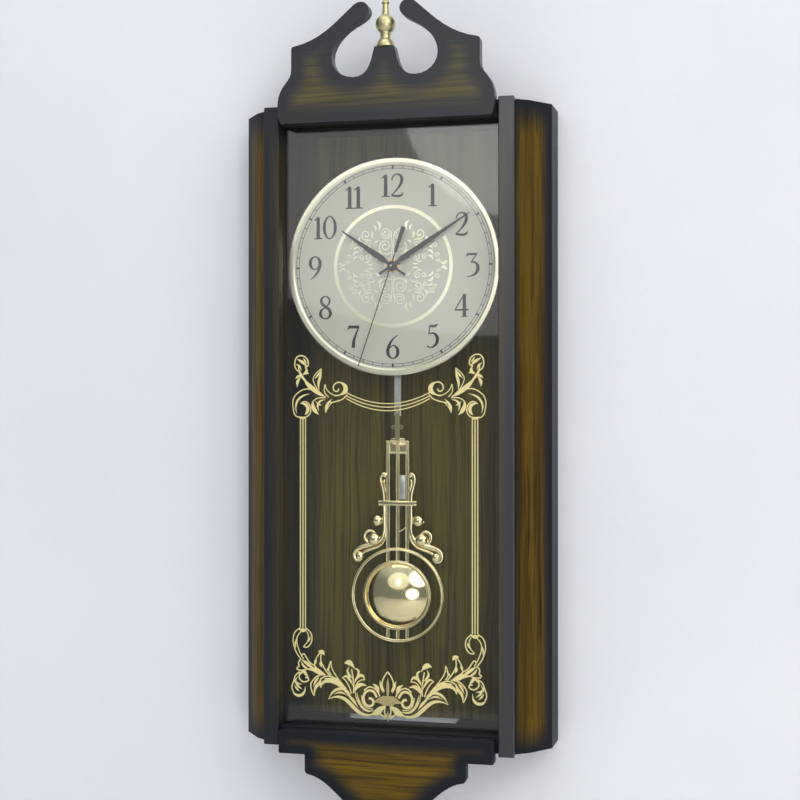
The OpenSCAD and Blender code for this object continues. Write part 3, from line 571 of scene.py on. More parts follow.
def volute(x, z, radius, start, turns, width, points=9):
    # a line that winds in to its eye
    stroke = []
    for index in range(points):
        along = index / (points - 1)
        angle = math.radians(start + 360 * turns * along)
        reach = radius * (1 - 0.78 * along)
        stroke.append((x + reach * math.cos(angle), z + reach * math.sin(angle),
                       width * (0.75 + 0.5 * along)))
    return stroke


digits = {
    "0": (0.60, [[(0.30, 1.0, 0.045), (0.10, 0.80, 0.085), (0.045, 0.5, 0.115), (0.10, 0.20, 0.085),
                  (0.30, 0, 0.045), (0.50, 0.20, 0.085), (0.555, 0.5, 0.115), (0.50, 0.80, 0.085),
                  "closed"]]),
    "1": (0.30, [[(0.16, 0.02, 0.115), (0.16, 0.97, 0.105)],
                 [(0.17, 0.985, 0.06), (0.08, 0.89, 0.06), (-0.05, 0.84, 0.03)],
                 [(-0.03, 0.015, 0.045), (0.36, 0.015, 0.045)]]),
    "2": (0.58, [[(0.05, 0.72, 0.045), (0.08, 0.86, 0.05), (0.27, 0.985, 0.05), (0.46, 0.90, 0.095),
                  (0.50, 0.71, 0.115), (0.40, 0.46, 0.09), (0.20, 0.22, 0.055), (0.02, 0.05, 0.04)],
                 [(0.02, 0.045, 0.075), (0.48, 0.045, 0.085), (0.56, 0.17, 0.03)]]),
    "3": (0.56, [[(0.05, 0.95, 0.075), (0.48, 0.96, 0.07)], [(0.05, 0.96, 0.06), (0.02, 0.84, 0.03)],
                 [(0.47, 0.96, 0.04), (0.22, 0.60, 0.045)],
                 [(0.21, 0.595, 0.045), (0.40, 0.58, 0.07), (0.52, 0.40, 0.115), (0.47, 0.16, 0.105),
                  (0.28, 0.01, 0.06), (0.04, -0.03, 0.035)]]),
    "4": (0.62, [[(0.43, 1.0, 0.05), (0.01, 0.31, 0.045)], [(0.01, 0.31, 0.06), (0.62, 0.31, 0.06)],
                 [(0.43, 0.0, 0.11), (0.43, 1.0, 0.10)], [(0.29, 0.015, 0.035), (0.57, 0.015, 0.035)]]),
    "5": (0.54, [[(0.14, 0.94, 0.085), (0.40, 0.94, 0.095), (0.52, 1.02, 0.03)],
                 [(0.15, 0.95, 0.05), (0.11, 0.57, 0.04)],
                 [(0.11, 0.57, 0.035), (0.28, 0.62, 0.06), (0.46, 0.49, 0.105), (0.49, 0.28, 0.115),
                  (0.37, 0.06, 0.08), (0.19, -0.01, 0.045), (0.02, 0.05, 0.055)]]),
    "6": (0.56, [[(0.50, 1.02, 0.03), (0.30, 0.87, 0.06), (0.11, 0.57, 0.10), (0.05, 0.30, 0.115),
                  (0.13, 0.08, 0.085), (0.28, 0.0, 0.045), (0.45, 0.09, 0.085), (0.51, 0.28, 0.115),
                  (0.45, 0.48, 0.085), (0.30, 0.57, 0.045), (0.12, 0.45, 0.04)]]),
    "7": (0.54, [[(0.02, 0.93, 0.105), (0.51, 0.93, 0.105)], [(0.02, 0.92, 0.05), (0.0, 0.80, 0.03)],
                 [(0.51, 0.93, 0.05), (0.38, 0.62, 0.07), (0.28, 0.32, 0.105), (0.25, 0.0, 0.13)]]),
    "8": (0.56, [[(0.28, 1.0, 0.045), (0.10, 0.89, 0.085), (0.11, 0.70, 0.10), (0.28, 0.54, 0.10),
                  (0.48, 0.37, 0.11), (0.50, 0.16, 0.10), (0.28, 0.0, 0.045), (0.05, 0.17, 0.095),
                  (0.09, 0.37, 0.075), (0.28, 0.52, 0.05), (0.45, 0.70, 0.07), (0.46, 0.88, 0.075),
                  "closed"]]),
}
digits["9"] = (digits["6"][0], [[(0.56 - x, 1 - z, w) for x, z, w in digits["6"][1][0]]])

dialPrint = dict(
    numberHeight=19.5, numberRing=70.3, numberGap=0.10, bolder=1.5, finer=0.004,
    trackInner=85.0, trackOuter=87.3, line=0.42, hourTick=(1.6, 0.9), minuteTick=(0.6, 0.4),
    goldInner=50.2, goldOuter=53.2, ink=0.04 * mm,
)


def dialCentre():
    low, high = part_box("dial_plate")
    return Vector(((low.x + high.x) / 2, low.y, (low.z + high.z) / 2))


def numberStrokes(setting):
    strokes = []
    size = setting["numberHeight"]
    for hour in range(1, 13):
        text = str(hour)
        widths = [digits[c][0] for c in text]
        gap = setting["numberGap"]
        total = sum(widths) + gap * (len(text) - 1)
        angle = math.radians(30 * hour)
        x = setting["numberRing"] * math.sin(angle) - total * size / 2
        z = setting["numberRing"] * math.cos(angle) - size / 2
        for character, width in zip(text, widths):
            for stroke in digits[character][1]:
                strokes.append([
                    p if p == "closed" else
                    (x + p[0] * size, z + p[1] * size, (p[2] * setting["bolder"] - setting["finer"]) * size)
                    for p in stroke])
            x += (width + gap) * size
    return strokes


def flatRing(mesh, inner, outer, height, segments=180):
    # a thin ring across the dial, facing the front
    loops = []
    for radius in (inner, outer):
        made = bmesh.ops.create_circle(mesh, segments=segments, radius=radius * mm, cap_ends=False)
        loops.append(made["verts"])
    edges = [e for loop in loops for e in {e for v in loop for e in v.link_edges}]
    made = bmesh.ops.bridge_loops(mesh, edges=edges)
    solid = bmesh.ops.extrude_face_region(mesh, geom=made["faces"])
    top = [v for v in solid["geom"] if isinstance(v, bmesh.types.BMVert)]
    bmesh.ops.translate(mesh, vec=(0, 0, height), verts=top)
    bmesh.ops.transform(mesh, matrix=Matrix.Rotation(math.radians(90), 4, "X"),
                        verts=loops[0] + loops[1] + top)


def makeDialPrint(setting):
    centre = dialCentre()
    place = Matrix.Translation(centre - Vector((0, setting["ink"] / 2, 0)))
    ink = plainFinish("dialInk", (0.028, 0.029, 0.033), 0.42, 0.0, 0.1, 800, 0.0)
    numbers = inkStrokes("dial_numbers", numberStrokes(setting), setting["ink"], place)
    settle(numbers, "case", ink, "hand_black")
    mesh = bmesh.new()
    line = setting["line"]
    for radius in (setting["trackInner"], setting["trackOuter"]):
        flatRing(mesh, radius - line / 2, radius + line / 2, setting["ink"])
    middle = (setting["trackInner"] + setting["trackOuter"]) / 2
    for minute in range(60):
        width, over = setting["minuteTick" if minute % 5 else "hourTick"]
        length = setting["trackOuter"] - setting["trackInner"] + over
        tick = bmesh.ops.create_cube(mesh, size=1.0)["verts"]
        turn = (Matrix.Rotation(math.radians(6 * minute), 4, "Y")
                @ Matrix.Translation((0, -setting["ink"] / 2, middle * mm))
                @ Matrix.Diagonal((width * mm, setting["ink"], length * mm, 1)))
        bmesh.ops.transform(mesh, matrix=turn, verts=tick)
    bmesh.ops.translate(mesh, vec=centre, verts=mesh.verts)
    bmesh.ops.recalc_face_normals(mesh, faces=mesh.faces)
    track = meshObject("minute_track", mesh)
    settle(track, "case", ink, "hand_black")
    mesh = bmesh.new()
    flatRing(mesh, setting["goldInner"], setting["goldOuter"], setting["ink"])
    bmesh.ops.translate(mesh, vec=centre, verts=mesh.verts)
    bmesh.ops.recalc_face_normals(mesh, faces=mesh.faces)
    ring = meshObject("dial_ring", mesh)
    settle(ring, "case", rimMetal, "rim_gold")


print("dial print")
makeDialPrint(dialPrint)

foil = dict(weight=0.95)
foilLines = [
    # kind, width, points from the dial's centre, for one quarter
    ("leaf", 2.4, [(11.0, 8.6), (13.4, 7.6), (15.6, 5.4)]),
    ("leaf", 1.7, [(9.6, 10.2), (11.6, 12.8), (13.8, 14.8)]),
    ("leaf", 2.0, [(17.6, 31.0), (18.6, 27.5), (17.2, 24.0)]),
    ("leaf", 2.8, [(14.6, 40.0), (11.6, 36.0), (12.4, 31.4)]),
    ("leaf", 2.0, [(17.4, 36.4), (15.4, 33.6), (15.8, 30.6)]),
    ("leaf", 1.4, [(12.6, 22.4), (14.6, 21.8), (17.0, 19.8)]),
    ("leaf", 2.4, [(29.2, 26.4), (30.2, 23.2), (27.6, 20.4)]),
    ("leaf", 2.6, [(30.4, 12.8), (34.0, 12.6), (36.0, 9.0)]),
    ("leaf", 2.4, [(30.8, 8.4), (34.2, 8.0), (35.6, 4.6)]),
    ("leaf", 2.2, [(29.4, 16.6), (33.0, 17.0), (35.6, 14.0)]),
    ("leaf", 1.2, [(25.6, 15.0), (27.8, 16.2), (29.2, 18.4)]),
    ("leaf", 1.2, [(27.0, 13.4), (29.0, 14.6), (30.6, 16.6)]),
    ("leaf", 1.6, [(20.6, 4.6), (23.4, 3.6), (26.4, 4.4)]),
    ("leaf", 1.6, [(17.0, 2.6), (20.0, 1.6), (23.2, 2.0)]),
    ("leaf", 2.2, [(44.2, 0.6), (46.6, 2.8), (49.0, 3.2)]),
    ("leaf", 2.0, [(47.6, 0.7), (44.6, 1.4), (42.4, 3.4)]),
    ("even", 0.8, [(0.9, 8.0), (0.7, 20.0), (1.6, 30.5)]),
    ("even", 0.9, [(1.0, 12.0), (6.0, 10.6), (10.6, 13.4), (11.4, 19.0), (7.6, 22.4)]),
    ("even", 0.9, [(1.4, 31.0), (2.0, 26.6), (5.4, 24.2), (9.0, 25.4), (10.2, 29.6)]),
    ("even", 0.9, [(16.0, 12.0), (18.6, 13.8), (22.6, 13.2)]),
    ("even", 0.9, [(19.0, 22.6), (22.4, 22.8), (26.6, 19.6), (26.8, 15.6)]),
]
foilVolutes = [
    # x, z, radius, start angle, turns, width
    (7.0, 17.6, 4.9, 60, 1.25, 0.9), (6.3, 28.8, 4.3, 20, 1.3, 0.9), (21.2, 8.4, 3.3, 200, 1.3, 0.9),
    (22.2, 17.2, 4.0, 150, -1.25, 0.9), (24.0, 27.8, 4.6, 240, 1.3, 1.0),
    (34.6, 22.0, 2.9, 130, 1.2, 0.9), (37.4, 17.4, 2.4, 200, -1.2, 0.8),
    (28.0, 7.6, 2.5, 20, 1.2, 0.8), (39.6, 9.6, 2.3, 160, 1.2, 0.8), (40.2, 4.2, 1.9, 300, 1.1, 0.7),
]


def makeFoil():
    # hot-stamped scrolls round the dial's centre, the same in all four quarters
    quarter = [brush(kind, width * foil["weight"], points) for kind, width, points in foilLines]
    quarter += [volute(*line) for line in foilVolutes]
    strokes = mirrored(quarter)
    strokes += [[(x, -z, w) for x, z, w in stroke] for stroke in strokes]
    place = Matrix.Translation(dialCentre() - Vector((0, dialPrint["ink"] / 2, 0)))
    scrolls = inkStrokes("dial_scrolls", strokes, dialPrint["ink"], place)
    settle(scrolls, "case", rimMetal, "rim_gold")


makeFoil()

glassPrint = dict(
    centreX=-2.5, halfSpan=76.5, cornerZ=-204.0, footZ=-387.5, linesLow=-461.2, line=1.05, pitch=2.3,
    weight=1.12, ink=0.05 * mm,
    swags=((37.6, 22.4, 12.6), (37.6, 19.6, 9.6), (37.2, 17.0, 6.5)),    # reach, ends up, middle up
)
cornerLines = [
    # measured from the head of the side lines, towards the middle and up
    ("even", 1.1, [(0.4, 0.3), (-6.3, 1.8), (-9.0, 8.9), (-8.5, 17.3), (-3.9, 22.6), (3.4, 25.4),
                   (10.1, 23.6), (14.5, 20.5)]),
    ("even", 1.1, [(0.4, 0.3), (5.2, 2.4), (7.1, 7.7), (4.6, 13.1), (1.0, 14.3), (-2.1, 12.5)]),
    ("leaf", 3.0, [(-2.5, 12.8), (1.5, 12.2), (4.4, 9.0), (3.4, 4.6), (1.6, 3.0)]),
    ("leaf", 2.0, [(-5.7, 4.0), (-6.6, 10.1), (-4.4, 16.0), (0.4, 19.6), (5.9, 21.2)]),
    ("leaf", 2.4, [(-3.8, 1.6), (0.0, 0.0), (3.8, 1.6)]),
    ("leaf", 4.2, [(20.5, 18.4), (15.0, 21.4), (9.0, 25.6), (4.0, 30.0), (0.6, 34.4)]),
    ("leaf", 2.2, [(8.0, 26.2), (1.0, 33.9), (-3.0, 39.9), (-4.5, 46.0)]),
    ("even", 1.2, [(-4.5, 41.0), (-7.0, 44.0), (-7.4, 49.0), (-5.8, 53.0), (-1.5, 54.6),
                   (3.0, 52.4), (4.8, 48.6), (4.2, 45.4), (1.6, 44.6)]),
    ("leaf", 2.6, [(-5.6, 51.8), (-2.0, 49.8), (1.2, 47.6), (3.8, 44.8)]),
    ("leaf", 1.9, [(-6.4, 47.5), (-3.4, 45.4), (-1.4, 41.4)]),
    ("leaf", 1.5, [(0.2, 52.8), (1.6, 50.2), (4.2, 47.8)]),
    ("leaf", 2.6, [(-1.0, 37.0), (-4.2, 36.4), (-7.0, 34.4)]),
    ("leaf", 2.8, [(-2.0, 35.8), (-5.0, 31.6), (-5.1, 27.0)]),
    ("leaf", 2.6, [(-0.6, 38.0), (3.2, 41.0), (2.2, 44.6)]),
    ("leaf", 2.2, [(0.6, 37.6), (3.2, 39.4), (5.6, 38.6)]),
    ("even", 0.9, [(13.8, 24.2), (10.4, 30.0), (9.4, 34.6), (11.6, 38.4), (16.8, 43.2)]),
    ("leaf", 2.4, [(14.6, 24.0), (14.2, 30.5), (15.8, 36.5), (17.0, 43.2)]),
    ("leaf", 1.8, [(10.6, 34.2), (13.6, 37.4), (16.6, 42.0)]),
    ("even", 0.9, [(23.4, 18.2), (20.2, 21.6), (19.4, 25.4), (20.0, 29.4)]),
    ("even", 0.9, [(20.0, 29.4), (21.6, 25.2), (24.8, 21.8), (28.6, 19.8)]),
    ("even", 1.2, [(28.6, 19.6), (33.0, 20.0), (36.6, 23.0), (37.0, 27.6), (33.8, 31.0), (29.6, 30.2),
                   (27.6, 27.0), (28.8, 23.8), (31.4, 23.4), (32.6, 25.6)]),
    ("leaf", 3.6, [(32.6, 20.0), (36.8, 21.8), (39.0, 24.6), (37.8, 28.8), (34.6, 31.4)]),
    ("even", 1.1, [(40.2, 20.4), (36.4, 16.8), (30.6, 14.6), (24.4, 13.4)]),
    ("leaf", 2.4, [(26.4, 16.6), (22.8, 12.8), (21.0, 9.0), (20.5, 4.8)]),
    ("even", 0.9, [(27.0, 14.0), (23.4, 10.2), (20.5, 4.8)]),
    ("even", 1.0, [(20.7, 17.6), (14.8, 17.6), (10.3, 15.6), (8.0, 11.2), (9.6, 7.0), (14.0, 3.2)]),
    ("leaf", 3.2, [(9.4, 14.4), (9.4, 9.6), (11.2, 6.2), (14.2, 3.2)]),
    ("leaf", 1.9, [(20.4, 16.2), (15.4, 14.6), (13.4, 10.6), (14.6, 6.2)]),
    ("leaf", 1.5, [(11.4, 15.0), (14.4, 12.0), (17.0, 11.2)]),
]
footLines = [
    # measured from the middle outwards, and up from the lowest lobe
    ("leaf", 3.4, [(80.2, 72.4), (77.4, 71.6), (75.4, 71.6), (72.6, 72.4)]),
    ("even", 1.1, [(79.0, 73.6), (83.4, 70.2), (85.5, 63.5), (84.4, 56.8), (81.7, 50.8), (78.4, 46.6)]),
    ("even", 1.0, [(78.0, 70.6), (81.6, 66.0), (82.0, 61.0), (80.6, 55.6), (78.2, 50.3), (75.8, 46.4)]),
    ("leaf", 1.7, [(82.6, 64.0), (83.4, 60.0), (83.2, 55.6)]),
    ("even", 1.1, [(74.0, 73.6), (69.6, 69.8), (68.2, 64.5), (69.6, 59.9), (72.7, 57.0), (76.0, 57.0)]),
    ("even", 0.9, [(73.0, 70.8), (71.5, 67.1), (72.0, 62.4), (74.0, 59.4), (76.0, 57.4)]),
    ("leaf", 1.8, [(69.8, 66.4), (70.8, 63.6), (72.6, 60.8)]),
    ("even", 1.2, [(77.4, 49.6), (76.0, 51.0), (74.0, 49.0), (70.6, 44.0), (66.0, 41.0), (63.0, 38.0)]),
    ("even", 1.2, [(78.6, 46.2), (80.6, 43.0), (80.2, 39.8), (82.0, 38.2), (80.6, 36.8), (73.4, 37.2)]),
    ("leaf", 2.0, [(78.4, 44.6), (76.6, 41.4), (74.0, 39.0), (70.0, 37.2)]),
    ("leaf", 2.8, [(78.2, 46.4), (74.0, 43.6), (69.6, 40.4), (65.0, 37.6)]),
    ("leaf", 4.6, [(73.0, 37.6), (66.0, 37.6), (61.0, 35.4), (55.8, 33.6)]),
    ("even", 1.0, [(65.8, 41.0), (65.2, 44.6), (64.0, 48.2), (60.6, 53.0)]),
    ("leaf", 2.2, [(65.8, 41.4), (65.0, 44.6), (64.2, 47.6)]),
    ("leaf", 3.8, [(62.6, 53.8), (59.0, 53.2), (57.0, 50.6)]),
    ("even", 1.0, [(60.0, 51.4), (60.0, 45.6), (57.4, 40.0), (54.8, 36.2), (52.0, 33.2)]),
    ("leaf", 2.2, [(60.2, 45.8), (60.4, 42.6), (59.0, 39.6)]),
    ("even", 1.0, [(51.0, 45.8), (52.7, 41.5), (53.0, 37.5), (50.6, 33.4)]),
    ("even", 1.0, [(51.0, 45.8), (50.4, 40.2), (46.4, 33.2), (37.0, 22.0)]),
    ("leaf", 1.8, [(51.6, 41.4), (53.6, 38.6), (54.6, 36.6)]),
    ("even", 1.2, [(56.0, 33.6), (62.4, 32.6), (66.5, 29.2), (69.3, 24.4), (68.6, 19.7), (66.2, 14.8)]),
    ("leaf", 2.2, [(61.4, 32.2), (64.4, 28.2), (67.2, 22.6)]),
    ("leaf", 2.8, [(60.0, 31.0), (61.2, 26.6), (65.0, 21.8), (66.2, 14.8)]),
    ("leaf", 3.4, [(60.4, 21.8), (58.6, 26.2), (53.4, 28.4), (46.5, 27.0), (40.6, 23.0), (35.6, 18.8)]),
    ("even", 1.1, [(60.4, 22.0), (60.0, 29.3), (55.5, 32.2), (50.0, 32.2), (46.6, 30.0)]),
    ("leaf", 2.8, [(57.0, 30.4), (52.7, 29.8), (46.4, 30.0), (42.0, 25.6)]),
    ("leaf", 3.0, [(48.0, 30.6), (43.0, 26.4), (37.6, 20.4), (32.0, 14.6)]),
    ("even", 1.2, [(79.3, 35.2), (83.0, 32.1), (84.8, 27.4), (86.5, 20.7), (85.0, 17.4)]),
    ("leaf", 2.6, [(86.4, 19.0), (83.6, 15.4), (79.0, 14.6), (75.4, 17.4), (74.2, 22.8)]),
    ("leaf", 2.0, [(83.6, 26.8), (81.0, 22.6), (77.0, 20.0)]),
    ("even", 1.3, [(79.3, 34.9), (79.8, 30.2), (77.5, 27.2), (74.1, 26.6), (71.2, 29.2), (74.4, 30.6)]),
    ("leaf", 2.8, [(79.6, 32.0), (76.0, 35.4), (73.6, 33.2), (71.6, 30.2)]),
    ("leaf", 2.2, [(81.2, 31.0), (83.4, 26.6), (81.4, 25.0), (77.0, 24.4)]),
    ("leaf", 1.8, [(84.4, 23.4), (82.2, 20.4), (79.4, 17.8)]),
    ("even", 1.2, [(30.6, 18.6), (30.4, 26.0), (31.2, 32.6), (32.4, 39.3)]),
    ("leaf", 4.8, [(38.8, 44.2), (34.6, 45.0), (29.8, 40.6)]),
    ("leaf", 2.0, [(34.6, 41.6), (36.0, 37.4), (34.1, 33.9), (31.0, 31.0)]),
    ("leaf", 2.4, [(40.8, 32.0), (36.8, 33.0), (34.0, 30.2), (30.6, 24.0)]),
    ("even", 1.1, [(40.6, 32.0), (38.2, 29.8), (34.8, 24.8), (32.4, 18.4)]),
    ("leaf", 2.0, [(30.6, 40.4), (26.6, 38.8), (26.4, 35.0), (29.8, 29.6)]),
    ("leaf", 2.8, [(20.2, 30.6), (23.1, 34.4), (26.8, 32.8), (29.6, 27.6)]),
    ("even", 1.0, [(20.4, 30.8), (24.6, 30.0), (28.0, 26.4), (29.8, 21.6)]),
    ("leaf", 3.6, [(18.8, 25.8), (23.8, 26.4), (27.4, 24.2), (29.6, 20.0)]),
    ("leaf", 2.4, [(53.2, 12.6), (49.3, 18.6), (43.7, 21.8), (37.5, 21.0), (32.6, 17.4)]),
    ("leaf", 3.4, [(53.2, 12.6), (46.5, 14.8), (40.3, 14.1), (34.8, 10.5), (29.3, 5.3), (23.7, 1.4),
                   (17.0, 0.4), (10.0, 3.0)]),
    ("leaf", 1.8, [(48.2, 17.0), (42.4, 18.9), (35.6, 16.2)]),
    ("leaf", 2.6, [(36.4, 17.6), (31.0, 12.6), (26.6, 6.6)]),
    ("leaf", 2.2, [(27.4, 19.6), (26.0, 12.7), (23.0, 7.2), (18.0, 4.0), (11.4, 4.6)]),
    ("even", 0.9, [(29.0, 20.0), (27.8, 13.6), (25.2, 8.8)]),
    ("even", 0.9, [(23.6, 17.0), (21.9, 10.0), (18.4, 6.4), (13.0, 5.8)]),
    ("even", 2.2, [(9.6, 16.0), (13.4, 21.2), (18.0, 21.2), (21.2, 17.6), (21.2, 12.4), (18.8, 8.8),
                   (15.4, 8.2), (12.9, 11.0), (14.0, 14.4), (17.0, 14.8)]),
    ("even", 1.3, [(21.2, 21.4), (16.8, 24.6), (12.6, 24.0), (8.8, 20.4), (7.0, 17.0)]),
    ("leaf", 2.8, [(4.2, 20.0), (5.6, 25.5), (7.2, 30.6)]),
    ("leaf", 3.2, [(7.6, 18.8), (9.6, 24.6), (13.4, 27.6)]),
    ("even", 1.2, [(0.0, 38.6), (4.2, 31.9), (5.0, 26.6), (3.2, 21.4)]),
    ("leaf", 2.4, [(0.0, 33.4), (0.0, 27.0), (0.0, 20.0), (0.0, 15.0)]),
    ("even", 8.6, [(-5.2, 13.4), (5.2, 13.4)]),
    ("leaf", 7.0, [(-12.4, 12.0), (-5.5, 13.6), (5.5, 13.6), (12.4, 12.0)]),
    ("leaf", 5.4, [(2.0, 9.0), (6.4, 6.0), (10.4, 2.6), (15.0, 1.0)]),
    ("leaf", 2.4, [(0.0, 4.6), (0.0, -0.6), (0.0, -4.4)]),
    ("even", 1.2, [(2.2, 9.4), (2.8, 4.4), (1.6, -0.6)]),
    ("even", 1.3, [(8.4, 3.4), (5.2, 0.6), (2.2, -1.4)]),
]


def makeGlassPrint(setting):
    # gold ink on the inside of the glass: corner scrolls, swag, side lines and the foot ornament
    span = setting["halfSpan"]
    half = []
    for kind, width, points in cornerLines:
        placed = [(span - u, setting["cornerZ"] + v) for u, v in points]
        half.append(brush(kind, width * setting["weight"], placed))
    for kind, width, points in footLines:
        placed = [(u, setting["linesLow"] + v) for u, v in points]
        half.append(brush(kind, width * setting["weight"], placed))
    for offset in (-1, 0, 1):
        x = span + offset * setting["pitch"]
        half.append([(x, setting["cornerZ"], setting["line"]), (x, setting["footZ"], setting["line"])])
    strokes = mirrored(half)
    for reach, head, sag in setting["swags"]:
        points = [(reach * step / 4, setting["cornerZ"] + sag + (head - sag) * (step / 4) ** 2)
                  for step in range(-4, 5)]
        strokes.append(brush("even", setting["line"], points))
    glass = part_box("glass_pane")
    place = Matrix.Translation((setting["centreX"] * mm, glass[1].y + setting["ink"] / 2, 0))
    ink = plainFinish("goldInk", (0.88, 0.75, 0.33), 0.42, 0.15, 0.06, 1200, 0.0)
    thing = inkStrokes("glass_ornament", strokes, setting["ink"], place)
    settle(thing, "case", ink, "gilt_matt")


print("glass print")
makeGlassPrint(glassPrint)


def turned(mesh, profile, steps, centre, axis, closed=False):
    # spins a profile of (radius, height) in mm round an axis through a centre
    verts = []
    for radius, height in profile:
        point = (radius * mm, height * mm, 0) if axis == "Y" else (radius * mm, 0, height * mm)
        verts.append(mesh.verts.new(Vector(point) + Vector(centre)))
    edges = [mesh.edges.new(pair) for pair in zip(verts, verts[1:])]
    if closed:
        edges.append(mesh.edges.new((verts[-1], verts[0])))
    direction = (0, 1, 0) if axis == "Y" else (0, 0, 1)
    bmesh.ops.spin(mesh, geom=verts + edges, cent=centre, axis=direction, angle=2 * math.pi,
                   steps=steps, use_merge=True)
    bmesh.ops.remove_doubles(mesh, verts=mesh.verts, dist=1e-7)
    bmesh.ops.recalc_face_normals(mesh, faces=mesh.faces)


finialShape = dict(
    # radius and height in mm, from the foot up
    steps=64, height=46.4, ballRadius=8.55, ballHeight=19.6,
    foot=[(0, 0), (7.7, 0), (8.1, 0.4), (8.1, 1.2), (7.5, 2.8), (6.9, 4.6), (6.0, 6.0), (4.9, 6.9),
          (4.5, 7.8), (4.5, 9.6), (4.9, 11.2)],
    pin=[(3.2, 28.2), (3.0, 29.6), (2.7, 33.0), (2.5, 36.4), (3.2, 36.9), (3.5, 37.8), (3.2, 38.8),
         (2.4, 39.4), (1.9, 40.4), (2.0, 42.0), (1.8, 44.0), (1.1, 45.4), (0, 46.0)],
)


def makeFinial(setting):
    low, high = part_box("finial")
    centre = ((low.x + high.x) / 2, (low.y + high.y) / 2, high.z - setting["height"] * mm)
    radius, height = setting["ballRadius"], setting["ballHeight"]
    ball = [(radius * math.cos(math.radians(a)), height + radius * math.sin(math.radians(a)))
            for a in range(-54, 67, 8)]
    mesh = bmesh.new()
    turned(mesh, setting["foot"] + ball + setting["pin"], setting["steps"], centre, "Z")
    thing = meshObject("turned_finial", mesh, smooth=32)
    settle(thing, "case", finishes["gilt_matt"], "gilt_matt", "finial")


print("finial")
makeFinial(finialShape)

frameShape = dict(
    front=-27.6, back=-26.0, bars=(-8.7, 0.0, 8.7), barWidth=3.2, barLow=-400.2, barHigh=-224.4,
    groove=0.55, grooveSlope=0.25, grooveDepth=0.4, ease=0.22,
    fullness=1.5, rodY=-27.0, collarHalf=17.1, collarHeights=(-280.4, -277.6), collarWidth=2.1,
    clip=[(1.4, -303.6, 1.5), (4.2, -302.4, 1.6), (7.8, -299.4, 1.3)],
    plate=(1.9, 6.8, -275.6, -254.4, -27.3, -25.8), plateEase=0.2,
)
frameBlocks = [
    # cap, collar and the pins of the knobs: left, right, low, high, behind the front
    (-8.0, 8.0, -235.6, -224.0, 0.5), (-10.5, 10.5, -225.6, -224.0, -0.2),
    (-6.4, 6.4, -224.2, -221.8, 0.1), (-8.0, 8.0, -235.6, -234.4, -0.1),
    (-16, -12, -295.6, -293.2, 0.2), (12, 16, -295.6, -293.2, 0.2), (-15.6, 15.6, -280.9, -277.1, -0.4),
]
frameBalls = [
    # the right side's knobs: x, z, radius, behind the front, flatness
    (18.6, -294.4, 5.2, 0.8, 0.68), (22.8, -295.2, 1.7, 0.8, 0.9), (21.6, -311.0, 6.0, 0.6, 0.66),
    (34.6, -326.0, 4.2, 0.6, 0.72), (11.6, -254.6, 2.2, 0.5, 0.8),
]
frameTubes = [
    # the right side's rods: (x, z, width), the left side mirrors them
    [(9.8, -254.6, 2.2), (12.4, -253.4, 2.8), (15.0, -255.4, 2.6), (15.3, -259.6, 2.4),
     (13.9, -265.6, 2.3), (12.7, -271.0, 2.3), (12.4, -277.0, 2.3)],
    [(11.6, -258.0, 1.5), (12.4, -260.4, 1.6), (11.8, -264.6, 1.7), (10.6, -269.0, 1.6)],
    [(12.3, -281.0, 2.5), (12.2, -293.0, 2.4), (12.3, -303.6, 2.5), (14.4, -309.8, 2.8),
     (19.4, -313.8, 3.2), (26.0, -316.0, 3.6), (32.6, -318.0, 3.6), (38.0, -320.8, 3.2),
     (40.0, -325.0, 3.0), (37.8, -329.2, 3.2), (34.2, -329.2, 3.0), (32.4, -326.6, 2.4)],
    [(10.9, -281.0, 1.4), (10.9, -303.0, 1.4), (11.6, -310.4, 1.5), (16.0, -316.4, 1.7),
     (23.6, -319.8, 2.0), (30.4, -322.4, 2.0), (33.6, -325.4, 1.8)],
    [(20.4, -305.4, 1.4), (24.4, -303.6, 2.0), (28.8, -305.2, 2.4), (30.2, -309.2, 2.6),
     (28.0, -313.4, 2.4), (24.6, -315.4, 2.0)],
]


def addBar(mesh, left, right, low, high, front, back):
    # a flat bar, its sides in mm; returns its faces
    made = bmesh.ops.create_cube(mesh, size=1.0)["verts"]
    middle = ((left + right) / 2 * mm, (front + back) / 2 * mm, (low + high) / 2 * mm)
    size = ((right - left) * mm, (back - front) * mm, (high - low) * mm, 1)
    bmesh.ops.transform(mesh, matrix=Matrix.Translation(middle) @ Matrix.Diagonal(size), verts=made)
    return {face for vert in made for face in vert.link_faces}


def addBall(mesh, x, y, z, radius, flatness):
    place = Matrix.Translation((x * mm, y * mm, z * mm)) @ Matrix.Diagonal((1, flatness, 1, 1))
    bmesh.ops.create_uvsphere(mesh, u_segments=24, v_segments=16, radius=radius * mm, matrix=place)


